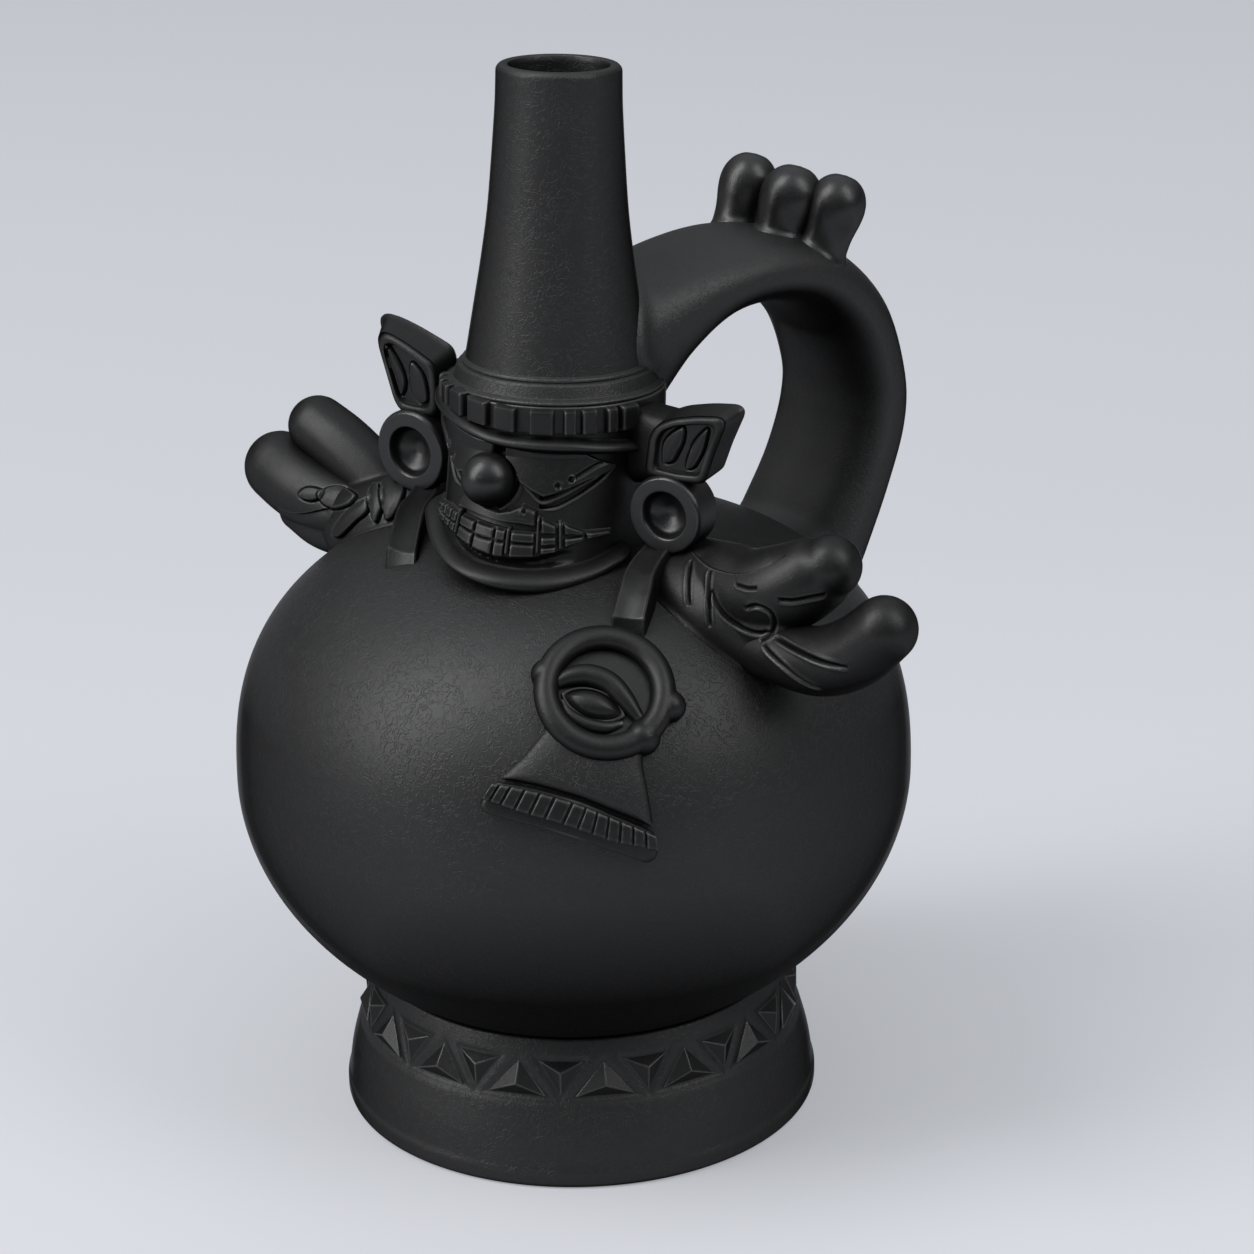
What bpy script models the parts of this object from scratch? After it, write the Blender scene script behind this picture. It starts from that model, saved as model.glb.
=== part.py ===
"""Black ceramic bottle: a globe on a flared foot, a mask head, a spout and a loop handle.

Every size below is in millimetres. The helper functions turn millimetres into metres.
The globe and the foot are turned about Z. The mask looks along -Y and the handle is behind it.
"""
import math

import bmesh
import bpy
from mathutils import Matrix, Vector

MM = 0.001
GAP = 0.3            # space left between two pieces that touch
SHARP_EDGE = math.radians(40.0)
BACK_GAP = 0.45      # the same behind a plate with few facets that lies on a round piece
AXIS_Y = -6.3        # turned axis, set forward so that the whole bottle is centred on the origin

GLOBE_RADIUS = 76.3
GLOBE_MID_Z = 80.2
GLOBE_UPPER = 58.4   # height of the upper half
GLOBE_LOWER = 60.3   # depth of the lower half
GLOBE_UPPER_POWER = 2.54
GLOBE_LOWER_POWER = 1.92
GLOBE_WALL = 4.5
NECK_OUTER = 17.0    # short spigot that the head slips over
NECK_INNER = 13.0
NECK_TOP_Z = 142.5

FOOT_SEAT_RADIUS = 47.7
FOOT_RIM_RADIUS = 54.7
FOOT_RIM_HEIGHT = 4.4
FOOT_CREASE_Z = 19.6
FOOT_CREASE_RADIUS = 51.6
FOOT_INNER_RIM = 49.0
FOOT_INNER_SEAT = 43.2
PYRAMID_COUNT = 32
PYRAMID_WIDTH = 17.0   # at its root, under the skin of the foot
PYRAMID_HEIGHT = 9.8
PYRAMID_RELIEF = 1.7
PYRAMID_ROOT = 0.7
PYRAMID_Z = 24.2
FRIEZE_RADIUS = 50.2
FRIEZE_LEAN = math.radians(11.4)

HEAD_Y = -4.4        # the head sits a little in front of the globe's axis
HEAD_Z = 140.0
HEAD_LEAN = math.radians(-2.8)
HEAD_RADIUS = 23.2
HEAD_TOP = 30.6      # heights in the head are measured from HEAD_Z
HEAD_BORE = 14.6
FACE_TURN = math.radians(8.0)
MUZZLE_START = 20.0  # below this height the face swells forward
MUZZLE_SLOPE = 0.37
MUZZLE_TURN = 5.0    # degrees from the middle of the face

HEADBAND_HEIGHT = 5.2
HEADBAND_Z = 25.2 + HEADBAND_HEIGHT / 2
HOOP_RADIUS = 24.3
BLOCK_RADIUS = 25.3
BLOCK_START = -64.0  # degrees from the middle of the face
BLOCK_ROW = ((6.0, 3.0), (7.0, 3.0), (9.0, 3.5), (12.0, 4.0), (13.0, 4.0), (12.0, 6.5), (13.0, 4.0),
             (7.0, 2.0), (8.5, 4.5), (6.5, 2.0), (11.0, 0.0))   # width and space of each block, degrees

COLLAR_RADIUS = 23.4
COLLAR_HEIGHT = 3.4
COLLAR_BORE = 17.0
SPOUT_BASE = 34.6
SPOUT_LENGTH = 65.0
SPOUT_BASE_RADIUS = 20.2
SPOUT_RIM_RADIUS = 13.5
SPOUT_RIM_BORE = 10.8
SPOUT_BASE_BORE = 13.6
SPOUT_SPIGOT = 16.7

HANDLE_TURN = math.radians(12.0)
HANDLE_POWER = 3.0   # squareness of the strap's section
KNOB_RADIUS = 7.0
KNOB_LEAN = math.radians(-5.0)

SPOOL_RADIUS = 8.6
SPOOL_DEPTH = 10.5
SPOOL_X = 36.7
SPOOL_Y = -11.5
SPOOL_Z = 149.3
EAR_TURN = {"left": math.radians(5.0), "right": math.radians(10.0)}

MEDALLION_AZ = math.radians(47.0)
MEDALLION_Z = 121.0
MEDALLION_ROLL = math.radians(-16.0)
MEDALLION_RADIUS = 11.9
MEDALLION_CORD = 2.4
BELL_RELIEF = 2.6


def collection(name):
    made = bpy.data.collections.new(name)
    bpy.context.scene.collection.children.link(made)
    return made


def clay(name, shade, roughness):
    mat = bpy.data.materials.new(name)
    mat.use_nodes = True
    shader = mat.node_tree.nodes["Principled BSDF"]
    shader.inputs["Base Color"].default_value = (shade, shade, shade * 0.97, 1.0)
    shader.inputs["Roughness"].default_value = roughness
    return mat


for old in list(bpy.data.objects):
    bpy.data.objects.remove(old, do_unlink=True)

PARTS = collection("ceramic_bottle")
CUTTERS = collection("cutters")
BURNISHED = clay("burnished_black_clay", 0.028, 0.42)
CARVED = clay("carved_black_clay", 0.022, 0.55)
HANDLED = clay("handled_black_clay", 0.032, 0.38)

ROOT = bpy.data.objects.new("bottle", None)
ROOT.location = (0.0, AXIS_Y * MM, 0.0)
PARTS.objects.link(ROOT)


def place(mesh, name, matrix, material, home=None):
    made = bpy.data.objects.new(name, mesh)
    if material is not None:
        mesh.materials.append(material)
    (home or PARTS).objects.link(made)
    made.parent = ROOT
    if matrix is not None:
        loc, rot, _ = matrix.decompose()
        made.location = loc
        made.rotation_mode = "QUATERNION"
        made.rotation_quaternion = rot
    if home is CUTTERS:
        made.hide_render = True
        made.display_type = "WIRE"
    return made


def at(x, y, z):
    return Matrix.Translation(Vector((x, y, z)) * MM)


def facing(x, y, z, normal, roll=0.0):
    """A frame with its Z along the normal and its Y as near to upright as it goes."""
    out = Vector(normal).normalized()
    side = Vector((0.0, 0.0, 1.0)).cross(out).normalized()
    up = out.cross(side)
    turn = Matrix((side, up, out)).transposed().to_4x4()
    return at(x, y, z) @ turn @ Matrix.Rotation(roll, 4, "Z")


HEAD = at(0.0, HEAD_Y, HEAD_Z) @ Matrix.Rotation(HEAD_LEAN, 4, "X")
FACE = HEAD @ Matrix.Rotation(FACE_TURN, 4, "Z")


def turned(name, profile, steps, matrix=None, material=None, home=None):
    """Turn a profile of (radius, height) about Z. A profile that leaves the axis is closed."""
    mesh = bpy.data.meshes.new(name)
    count = len(profile)
    edges = [(i, i + 1) for i in range(count - 1)]
    if profile[0][0] > 0.0:
        edges.append((count - 1, 0))
    mesh.from_pydata([(r * MM, 0.0, z * MM) for r, z in profile], edges, [])
    made = place(mesh, name, matrix, material, home)
    screw = made.modifiers.new("turn", "SCREW")
    screw.steps = steps
    screw.render_steps = steps
    screw.use_merge_vertices = True
    screw.merge_threshold = 0.00001
    screw.use_smooth_shade = False
    return made


def loft(name, rings, matrix=None, material=None, home=None):
    """Skin a row of rings that have the same number of corners, with a face on each end."""
    shape = bmesh.new()
    rows = [[shape.verts.new(Vector(p) * MM) for p in ring] for ring in rings]
    for a, b in zip(rows, rows[1:]):
        for i in range(len(a)):
            j = (i + 1) % len(a)
            shape.faces.new((a[i], a[j], b[j], b[i]))
    shape.faces.new(rows[0])
    shape.faces.new(list(reversed(rows[-1])))
    bmesh.ops.recalc_face_normals(shape, faces=shape.faces)
    mesh = bpy.data.meshes.new(name)
    shape.to_mesh(mesh)
    shape.free()
    return place(mesh, name, matrix, material, home)


def skin(deg, height, grow=0.0):
    """Radius of the head at an angle from the face's middle: a barrel with a swelling muzzle."""
    swell = max(0.0, MUZZLE_START - height) * MUZZLE_SLOPE
    share = max(0.0, math.cos(math.radians(deg - MUZZLE_TURN))) ** 3
    return HEAD_RADIUS + swell * share + grow


def around(deg, radius, height):
    a = math.radians(deg)
    return (radius * math.sin(a), -radius * math.cos(a), height)


def band(name, start, end, steps, thick, lower, upper, material=None, home=None):
    """A plate laid round the head: its lower and upper edges are functions of the angle."""
    rings = []
    for i in range(steps + 1):
        deg = start + (end - start) * i / steps
        ring = []
        for edge, grow in ((lower, BACK_GAP), (lower, thick), (upper, thick), (upper, BACK_GAP)):
            z = edge(deg)
            ring.append(around(deg, skin(deg, z, grow), z))
        rings.append(ring)
    return loft(name, rings, FACE, material, home)


def tube(name, points, radii, sides, matrix=None, material=None, home=None):
    """A round bar along points, with its own radius at each one."""
    curve = bpy.data.curves.new(name, "CURVE")
    curve.dimensions = "3D"
    curve.bevel_depth = MM
    curve.bevel_resolution = sides
    curve.use_fill_caps = True
    curve.twist_mode = "MINIMUM"
    spline = curve.splines.new("POLY")
    spline.points.add(len(points) - 1)
    for spot, p, r in zip(spline.points, points, radii):
        spot.co = (p[0] * MM, p[1] * MM, p[2] * MM, 1.0)
        spot.radius = r
    return from_curve(name, curve, matrix, material, home)


def outline(name, loops, depth, matrix=None, material=None, home=None):
    """A flat outline with its holes, given a depth that is half in front and half behind."""
    curve = bpy.data.curves.new(name, "CURVE")
    curve.dimensions = "2D"
    curve.fill_mode = "BOTH"
    curve.extrude = 0.5 * depth * MM
    for loop in loops:
        spline = curve.splines.new("POLY")
        spline.points.add(len(loop) - 1)
        for spot, p in zip(spline.points, loop):
            spot.co = (p[0] * MM, p[1] * MM, 0.0, 1.0)
        spline.use_cyclic_u = True
    return from_curve(name, curve, matrix, material, home)


def from_curve(name, curve, matrix, material, home):
    draft = bpy.data.objects.new(name + "_curve", curve)
    CUTTERS.objects.link(draft)
    bpy.context.view_layer.update()
    graph = bpy.context.evaluated_depsgraph_get()
    mesh = bpy.data.meshes.new_from_object(draft.evaluated_get(graph))
    bpy.data.objects.remove(draft, do_unlink=True)
    shape = bmesh.new()
    shape.from_mesh(mesh)
    bmesh.ops.remove_doubles(shape, verts=shape.verts, dist=0.00002)
    bmesh.ops.recalc_face_normals(shape, faces=shape.faces)
    shape.to_mesh(mesh)
    shape.free()
    mesh.name = name
    mesh.materials.clear()
    return place(mesh, name, matrix, material, home)


def boolean(target, tool, operation="DIFFERENCE"):
    mod = target.modifiers.new(operation.lower(), "BOOLEAN")
    mod.operation = operation
    mod.solver = "EXACT"
    mod.object = tool


def soften(target, width, segments=1):
    mod = target.modifiers.new("soften", "BEVEL")
    mod.width = width * MM
    mod.segments = segments
    mod.limit_method = "ANGLE"
    mod.angle_limit = math.radians(40.0)


def smooth_row(knots, steps):
    """Points on a smooth line through the knots (Catmull-Rom)."""
    ends = [tuple(2 * a - b for a, b in zip(knots[0], knots[1]))]
    tail = [tuple(2 * a - b for a, b in zip(knots[-1], knots[-2]))]
    row = ends + [tuple(k) for k in knots] + tail
    made = []
    for i in range(1, len(row) - 2):
        for s in range(steps):
            t = s / steps
            w = (-0.5 * t + t * t - 0.5 * t ** 3, 1.0 - 2.5 * t * t + 1.5 * t ** 3,
                 0.5 * t + 2.0 * t * t - 1.5 * t ** 3, -0.5 * t * t + 0.5 * t ** 3)
            around = row[i - 1:i + 3]
            made.append(tuple(sum(w[k] * around[k][d] for k in range(4))
                              for d in range(len(knots[0]))))
    made.append(tuple(knots[-1]))
    return made


def globe_height(radius, grow, upper):
    """Height of the globe's outside at a radius."""
    reach = GLOBE_RADIUS + grow
    power = GLOBE_UPPER_POWER if upper else GLOBE_LOWER_POWER
    rise = (GLOBE_UPPER if upper else GLOBE_LOWER) + grow
    part = (1.0 - (radius / reach) ** power) ** (1.0 / power)
    return GLOBE_MID_Z + (rise * part if upper else -rise * part)


def globe_line(grow, top_radius, upper_steps, lower_steps):
    """The globe's outline from a top radius down to the axis."""
    reach = GLOBE_RADIUS + grow
    start = math.asin((top_radius / reach) ** (GLOBE_UPPER_POWER / 2.0))
    line = []
    for i in range(upper_steps):
        a = start + (math.pi / 2 - start) * i / upper_steps
        r = reach * math.sin(a) ** (2.0 / GLOBE_UPPER_POWER)
        line.append((r, globe_height(min(r, reach), grow, True)))
    for i in range(lower_steps + 1):
        a = math.pi / 2 * (1.0 - i / lower_steps)
        r = reach * math.sin(a) ** (2.0 / GLOBE_LOWER_POWER)
        line.append((r, globe_height(min(r, reach), grow, False)))
    line[-1] = (0.0, GLOBE_MID_Z - GLOBE_LOWER - grow)
    return line


def on_globe(az, z, roll=0.0):
    """A frame on the upper globe: Z out of the clay, Y up the slope."""
    share = (z - GLOBE_MID_Z) / GLOBE_UPPER
    r = GLOBE_RADIUS * (1.0 - share ** GLOBE_UPPER_POWER) ** (1.0 / GLOBE_UPPER_POWER)
    out = (r / GLOBE_RADIUS) ** (GLOBE_UPPER_POWER - 1.0) / GLOBE_RADIUS
    rise = share ** (GLOBE_UPPER_POWER - 1.0) / GLOBE_UPPER
    x = math.sin(az)
    y = -math.cos(az)
    return facing(r * x, r * y, z, (out * x, out * y, rise), roll)


# Globe with a neck spigot.
outer = globe_line(0.0, NECK_OUTER, 8, 7)
inner = list(reversed(globe_line(-GLOBE_WALL, NECK_INNER, 4, 4)))
turned("vessel_body", [(NECK_OUTER, NECK_TOP_Z)] + outer + inner + [(NECK_INNER, NECK_TOP_Z)],
       48, None, BURNISHED)


def globe_tool(name, grow):
    line = globe_line(grow, NECK_OUTER + grow, 8, 7)
    top = NECK_TOP_Z + grow
    return turned(name, [(0.0, top), (NECK_OUTER + grow, top)] + line, 48, None, None, CUTTERS)


GLOBE_CUT = globe_tool("globe_cut", GAP)

# Foot ring. Its top follows the globe, and the pyramids stand on its upper half.
seat = []
for i in range(3):
    r = FOOT_SEAT_RADIUS + (FOOT_INNER_SEAT - FOOT_SEAT_RADIUS) * i / 2
    seat.append((r, globe_height(r, GAP, False)))
foot = [(FOOT_SEAT_RADIUS + 0.4, seat[0][1] + 0.1), (49.1, 29.5), (FOOT_CREASE_RADIUS, FOOT_CREASE_Z),
        (53.2, 12.0), (FOOT_RIM_RADIUS - 0.3, FOOT_RIM_HEIGHT + 0.9), (FOOT_RIM_RADIUS, FOOT_RIM_HEIGHT),
        (FOOT_RIM_RADIUS, 0.6), (FOOT_RIM_RADIUS - 0.6, 0.0), (FOOT_INNER_RIM, 0.0),
        (FOOT_INNER_RIM - 0.8, 0.8), (45.6, 14.0)] + list(reversed(seat))
foot_ring = turned("foot_ring", foot, 48, None, BURNISHED)
frieze = bmesh.new()
for i in range(PYRAMID_COUNT):
    az = 2.0 * math.pi * i / PYRAMID_COUNT
    flat = math.cos(FRIEZE_LEAN)
    normal = (math.sin(az) * flat, -math.cos(az) * flat, math.sin(FRIEZE_LEAN))
    x = FRIEZE_RADIUS * math.sin(az)
    y = -FRIEZE_RADIUS * math.cos(az)
    spot = facing(x, y, PYRAMID_Z, normal, math.pi * (i % 2))
    shape = Matrix.Diagonal((PYRAMID_WIDTH / math.sqrt(3.0), PYRAMID_HEIGHT / 1.5, 1.0, 1.0))
    shift = Matrix.Translation((0.0, -PYRAMID_HEIGHT / 6.0 * MM, 0.0))
    bmesh.ops.create_cone(frieze, cap_ends=True, segments=3, radius1=MM, radius2=0.0,
                          depth=(PYRAMID_RELIEF + PYRAMID_ROOT) * MM,
                          matrix=spot @ shift @ shape @ at(0.0, 0.0, 0.5 * (PYRAMID_RELIEF - PYRAMID_ROOT)))
bmesh.ops.recalc_face_normals(frieze, faces=frieze.faces)
frieze_mesh = bpy.data.meshes.new("frieze")
frieze.to_mesh(frieze_mesh)
frieze.free()
boolean(foot_ring, place(frieze_mesh, "frieze", None, None, CUTTERS), "UNION")

# Head barrel with the swelling muzzle, open through the middle.
def barrel(grow, low, top):
    levels = (low, -6.0, 4.0, 12.0, MUZZLE_START, top)
    return [[around(deg, skin(deg, z, grow), z) for deg in (9.0 * k for k in range(40))] for z in levels]


head = loft("head_shell", barrel(0.0, -16.0, HEAD_TOP), FACE, CARVED)
bore = turned("head_bore", [(0.0, HEAD_TOP + 4.0), (HEAD_BORE, HEAD_TOP + 4.0), (HEAD_BORE, -12.0),
                            (0.0, -12.0)], 32, HEAD, None, CUTTERS)
boolean(head, GLOBE_CUT)
boolean(head, bore)
HEAD_CUT = loft("head_cut", barrel(GAP, -20.0, HEAD_TOP + GAP), FACE, None, CUTTERS)

# Collar and spout, with a spigot that drops into the collar.
low = HEAD_TOP + GAP
turned("collar_ring", [(SPOUT_BASE_RADIUS + 0.4, low + COLLAR_HEIGHT), (22.2, low + COLLAR_HEIGHT - 0.7),
                       (COLLAR_RADIUS, low + 1.6), (COLLAR_RADIUS, low), (COLLAR_BORE, low),
                       (COLLAR_BORE, low + COLLAR_HEIGHT)], 36, HEAD, BURNISHED)


def spout_line(grow):
    sides = []
    for share, r in ((1.0, SPOUT_RIM_RADIUS), (0.86, 13.6), (0.7, 14.3), (0.52, 15.2), (0.36, 16.5),
                     (0.2, 18.1), (0.06, 19.6), (0.0, SPOUT_BASE_RADIUS)):
        sides.append((r + grow, SPOUT_BASE + SPOUT_LENGTH * share))
    return sides


sides = spout_line(0.0)
rim = SPOUT_BASE + SPOUT_LENGTH
sides[0] = (SPOUT_RIM_RADIUS - 0.1, rim - 0.9)
spout = [(SPOUT_RIM_RADIUS - 0.9, rim)] + sides
spout += [(SPOUT_SPIGOT, SPOUT_BASE), (SPOUT_SPIGOT, low + GAP), (SPOUT_BASE_BORE, low + GAP),
          (SPOUT_BASE_BORE - 0.6, SPOUT_BASE + 12.0), (SPOUT_RIM_BORE + 0.2, rim - 18.0),
          (SPOUT_RIM_BORE, rim - 0.9), (SPOUT_RIM_BORE + 0.8, rim)]
turned("spout", spout, 26, HEAD, BURNISHED)
neck_tool = [(0.0, rim + 2.0)] + spout_line(GAP)
neck_tool += [(COLLAR_RADIUS + GAP, low + COLLAR_HEIGHT), (COLLAR_RADIUS + GAP, low - 0.5),
              (0.0, low - 0.5)]
neck_tool.insert(1, (SPOUT_RIM_RADIUS + GAP, rim + 2.0))
NECK_CUT = turned("neck_cut", neck_tool, 26, HEAD, None, CUTTERS)

# Headband: blocks of uneven width round a thin hoop.
edge = []
turn = BLOCK_START
for width, space in BLOCK_ROW:
    edge.append(around(turn, HOOP_RADIUS, 0.0)[:2])
    for share in (0.0, 0.5, 1.0):
        edge.append(around(turn + share * width, BLOCK_RADIUS, 0.0)[:2])
    edge.append(around(turn + width, HOOP_RADIUS, 0.0)[:2])
    turn += width + space
for i in range(1, 24):
    edge.append(around(turn + (360.0 - turn + BLOCK_START) * i / 24, HOOP_RADIUS, 0.0)[:2])
hole = []
for i in range(40):
    spot = 2.0 * math.pi * i / 40
    hole.append(((HEAD_RADIUS + GAP) * math.sin(spot), (HEAD_RADIUS + GAP) * math.cos(spot)))
outline("headband", [edge, hole], HEADBAND_HEIGHT, FACE @ at(0.0, 0.0, HEADBAND_Z), CARVED)
band_top = HEADBAND_Z + HEADBAND_HEIGHT / 2 + 2.0 * GAP
band_low = HEADBAND_Z - HEADBAND_HEIGHT / 2 - GAP
BAND_CUT = turned("headband_cut", [(0.0, band_top), (BLOCK_RADIUS + GAP, band_top),
                                   (BLOCK_RADIUS + GAP, band_low), (0.0, band_low)], 48, HEAD, None, CUTTERS)

# Face.
brow = band("brow_roll", -72.0, 72.0, 16, 2.8, lambda d: 20.9, lambda d: 24.8, CARVED)
soften(brow, 1.1)


def lid_edge(deg):
    """Lower edge of the drawn-down lid: it dips beside the nose and climbs towards the ear."""
    d = abs(deg)
    knots = ((12.0, 15.0), (22.0, 10.6), (38.0, 13.2), (50.0, 15.6), (62.0, 17.6))
    for (a, low_z), (b, top_z) in zip(knots, knots[1:]):
        if d <= b:
            return low_z + (top_z - low_z) * (d - a) / (b - a)
    return knots[-1][1]


for side, word in ((-1, "left"), (1, "right")):
    lid = band("eyelid_" + word, side * 12.0, side * 62.0, 12, 2.2, lid_edge, lambda d: 20.4, CARVED)
    soften(lid, 0.7)
lip = band("upper_lip", -24.0, 22.0, 8, 2.6, lambda d: 5.9, lambda d: 7.4 + 0.13 * abs(d), CARVED)
soften(lip, 0.7)


def smile(deg):
    """Middle of the teeth."""
    return 2.9 + 0.8 * math.sin(math.radians(min(abs(deg), 60.0) * 3.0)) ** 2


def tooth_half(deg):
    return 2.4 - 1.3 * max(0.0, (abs(deg) - 28.0) / 26.0)


teeth = band("tooth_row", -52.0, 52.0, 18, 2.0, lambda d: smile(d) - tooth_half(d),
             lambda d: min(5.5, smile(d) + tooth_half(d)), CARVED)
nicks = bmesh.new()
for i in range(13):
    deg = -48.0 + 8.0 * i
    spot = Matrix.Rotation(math.radians(deg), 4, "Z") @ at(0.0, -skin(deg, 3.0, 2.2), 3.2)
    bmesh.ops.create_cube(nicks, size=MM, matrix=spot @ Matrix.Diagonal((0.6, 2.2, 10.0, 1.0)))
nick_mesh = bpy.data.meshes.new("tooth_nicks")
nicks.to_mesh(nick_mesh)
nicks.free()
boolean(teeth, place(nick_mesh, "tooth_nicks", FACE, None, CUTTERS))

jaw = band("jaw_roll", -66.0, 72.0, 16, 3.4, lambda d: -8.4 + 5.6 * (d / 60.0) ** 2,
           lambda d: -2.2 + 4.0 * (d / 60.0) ** 2, CARVED)
soften(jaw, 1.6)
boolean(jaw, GLOBE_CUT)


def ball(radius, steps):
    return [(radius * math.sin(math.pi * i / steps), radius * math.cos(math.pi * i / steps))
            for i in range(1, steps)]


nose = turned("nose_ball", [(0.0, 5.8)] + ball(5.8, 10) + [(0.0, -5.8)], 20,
              FACE @ at(0.0, -26.6, 14.6), BURNISHED)
boolean(nose, HEAD_CUT)

# Ears: a spool in front, a wedge above it and a strap below it.
EAR_FACE = {
    "left": ((-8.1, -6.2), (-9.5, -1.1), (-9.2, 4.2), (-6.0, 5.6), (-0.7, 8.2), (4.1, 9.7),
             (5.5, 7.3), (3.4, 1.3), (1.8, -4.2), (-2.8, -5.3)),
    "right": ((-8.4, -5.0), (-7.6, 0.7), (-5.8, 3.7), (-1.9, 5.6), (3.8, 6.9), (9.4, 7.5),
              (10.7, 6.1), (7.8, -0.9), (5.5, -7.2), (-1.8, -6.6))}
EAR_FLARE = {"left": (5.5, 2.6), "right": (1.6, 1.4)}
EAR_DEPTH = 8.0
STRAP = {
    "left": ((35.0, -10.5, 145.0), (33.0, -15.5, 141.4), (28.5, -22.0, 139.0), (23.0, -29.0, 136.6),
             (18.0, -35.2, 133.6)),
    "right": ((36.4, -10.0, 145.0), (36.6, -13.5, 140.8), (37.4, -18.0, 137.6), (38.8, -23.0, 134.4),
              (40.4, -27.6, 130.2))}
STRAP_WIDTH = 6.2
UPPER_LOBE = ((44.0, -3.0, 138.0), (54.0, -4.0, 138.6), (65.0, -4.5, 140.6), (73.0, -4.0, 144.3),
              (76.0, -3.8, 146.0))
LOWER_LOBE = ((55.0, -9.0, 130.0), (64.0, -9.8, 127.6), (74.0, -9.2, 126.6), (84.0, -7.8, 129.2),
              (91.6, -6.0, 135.4))
UPPER_RADII = (6.2, 6.2, 6.0, 6.2, 6.0)
LOWER_RADII = (7.0, 7.2, 7.4, 7.2, 6.0)
LOBE_REACH = {"left": 0.98, "right": 0.99}
for side, word in ((-1, "left"), (1, "right")):
    normal = (math.sin(EAR_TURN[word]), -math.cos(EAR_TURN[word]), 0.0)
    spool_at = facing(side * SPOOL_X, SPOOL_Y, SPOOL_Z, normal)
    drum = [(0.0, -2.2), (3.0, -1.9), (4.8, -0.5), (5.0, 0.0), (7.9, 0.0), (SPOOL_RADIUS, -0.8),
            (SPOOL_RADIUS, -SPOOL_DEPTH), (0.0, -SPOOL_DEPTH)]
    spool = turned("ear_spool_" + word, drum, 22, spool_at, BURNISHED)
    boolean(spool, GLOBE_CUT)
    clear = [(0.0, 3.0), (SPOOL_RADIUS + GAP, 3.0), (SPOOL_RADIUS + GAP, -SPOOL_DEPTH - GAP),
             (0.0, -SPOOL_DEPTH - GAP)]
    spool_cut = turned("spool_cut_" + word, clear, 22, spool_at, None, CUTTERS)

    ear_at = facing(side * 40.0, -10.0, 165.0, normal)
    shift_u, shift_v = EAR_FLARE[word]
    front = [(side * u, v, 0.0) for u, v in EAR_FACE[word]]
    back = [(side * (u + shift_u * (0.4 + 0.06 * u)), v + shift_v, -EAR_DEPTH) for u, v in EAR_FACE[word]]
    ear = loft("ear_flange_" + word, [front, back], ear_at, CARVED)
    sunk = [(side * (0.74 * u - 0.1), 0.72 * v + 0.3) for u, v in EAR_FACE[word]]
    panel = outline("ear_panel_" + word, [sunk], 2.4, ear_at, None, CUTTERS)
    stalk_rings = []
    for share in (0.0, 0.5, 1.0):
        x = 18.0 + 21.0 * share
        half = 8.0 - 2.0 * share
        stalk_rings.append([(side * x, 1.0 + 4.0 * math.cos(a), 158.6 + 3.4 * share + half * math.sin(a))
                            for a in (2.0 * math.pi * k / 12 for k in range(12))])
    stalk = loft("ear_stalk_" + word, stalk_rings, None, None, CUTTERS)
    boolean(ear, stalk, "UNION")
    boolean(ear, panel)
    boolean(ear, HEAD_CUT)
    boolean(ear, BAND_CUT)
    boolean(ear, spool_cut)

    strap_rings = []
    line = [Vector((side * x, y, z)) for x, y, z in STRAP[word]]
    for i, mid in enumerate(line):
        way = (line[min(i + 1, len(line) - 1)] - line[max(i - 1, 0)]).normalized()
        row = Vector((0.0, 0.0, 1.0)).cross(way).normalized()
        out = way.cross(row).normalized()
        if out.z < 0.0:
            out.negate()
        wide = 0.5 * STRAP_WIDTH + 0.45 * i
        strap_rings.append([mid - row * wide - out * 4.0, mid + row * wide - out * 4.0,
                            mid + row * wide * 0.86 + out * 2.6, mid - row * wide * 0.86 + out * 2.6])
    strap = loft("ear_strap_" + word, strap_rings, None, CARVED)
    boolean(strap, GLOBE_CUT)
    boolean(strap, HEAD_CUT)
    boolean(strap, spool_cut)
    strap_cut = loft("strap_cut_" + word, [[p + (p - sum(r, Vector()) / 4.0).normalized() * 0.5 for p in r]
                                           for r in strap_rings], None, None, CUTTERS)

    # Wing: a root on the shoulder and two thick lobes that curl up at their ends.
    def root_cage(name, grow, home=None, material=None):
        shape = bmesh.new()
        size = Matrix.Diagonal((2 * (25.0 + grow), 2 * (13.5 + grow), 2 * (12.0 + grow), 1.0))
        bmesh.ops.create_cube(shape, size=MM, matrix=size)
        mesh = bpy.data.meshes.new(name)
        shape.to_mesh(mesh)
        shape.free()
        spot = at(side * 48.0, -6.5, 129.0) @ Matrix.Rotation(side * math.radians(14.0), 4, "Y")
        made = place(mesh, name, spot, material, home)
        mod = made.modifiers.new("round", "SUBSURF")
        mod.levels = 2
        mod.render_levels = 2
        return made

    root = root_cage("wing_root_" + word, 3.0, None, CARVED)
    root_cut = root_cage("root_cut_" + word, 3.5, CUTTERS)
    for tool in (GLOBE_CUT, HEAD_CUT, spool_cut, strap_cut):
        boolean(root, tool)

    def lobe(name, knots, radii, grow, home=None, material=None):
        points = smooth_row([(side * LOBE_REACH[word] * x, y, z) for x, y, z in knots], 3)
        row = smooth_row([(r,) for r in radii], 3)
        widths = [r[0] + grow for r in row]
        last = Vector(points[-1])
        way = (last - Vector(points[-2])).normalized()
        tip = widths[-1]
        for turn in (25.0, 50.0, 72.0):
            points.append(tuple(last + way * tip * math.sin(math.radians(turn))))
            widths.append(tip * math.cos(math.radians(turn)))
        return tube(name, points, widths, 3, None, material, home)

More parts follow.
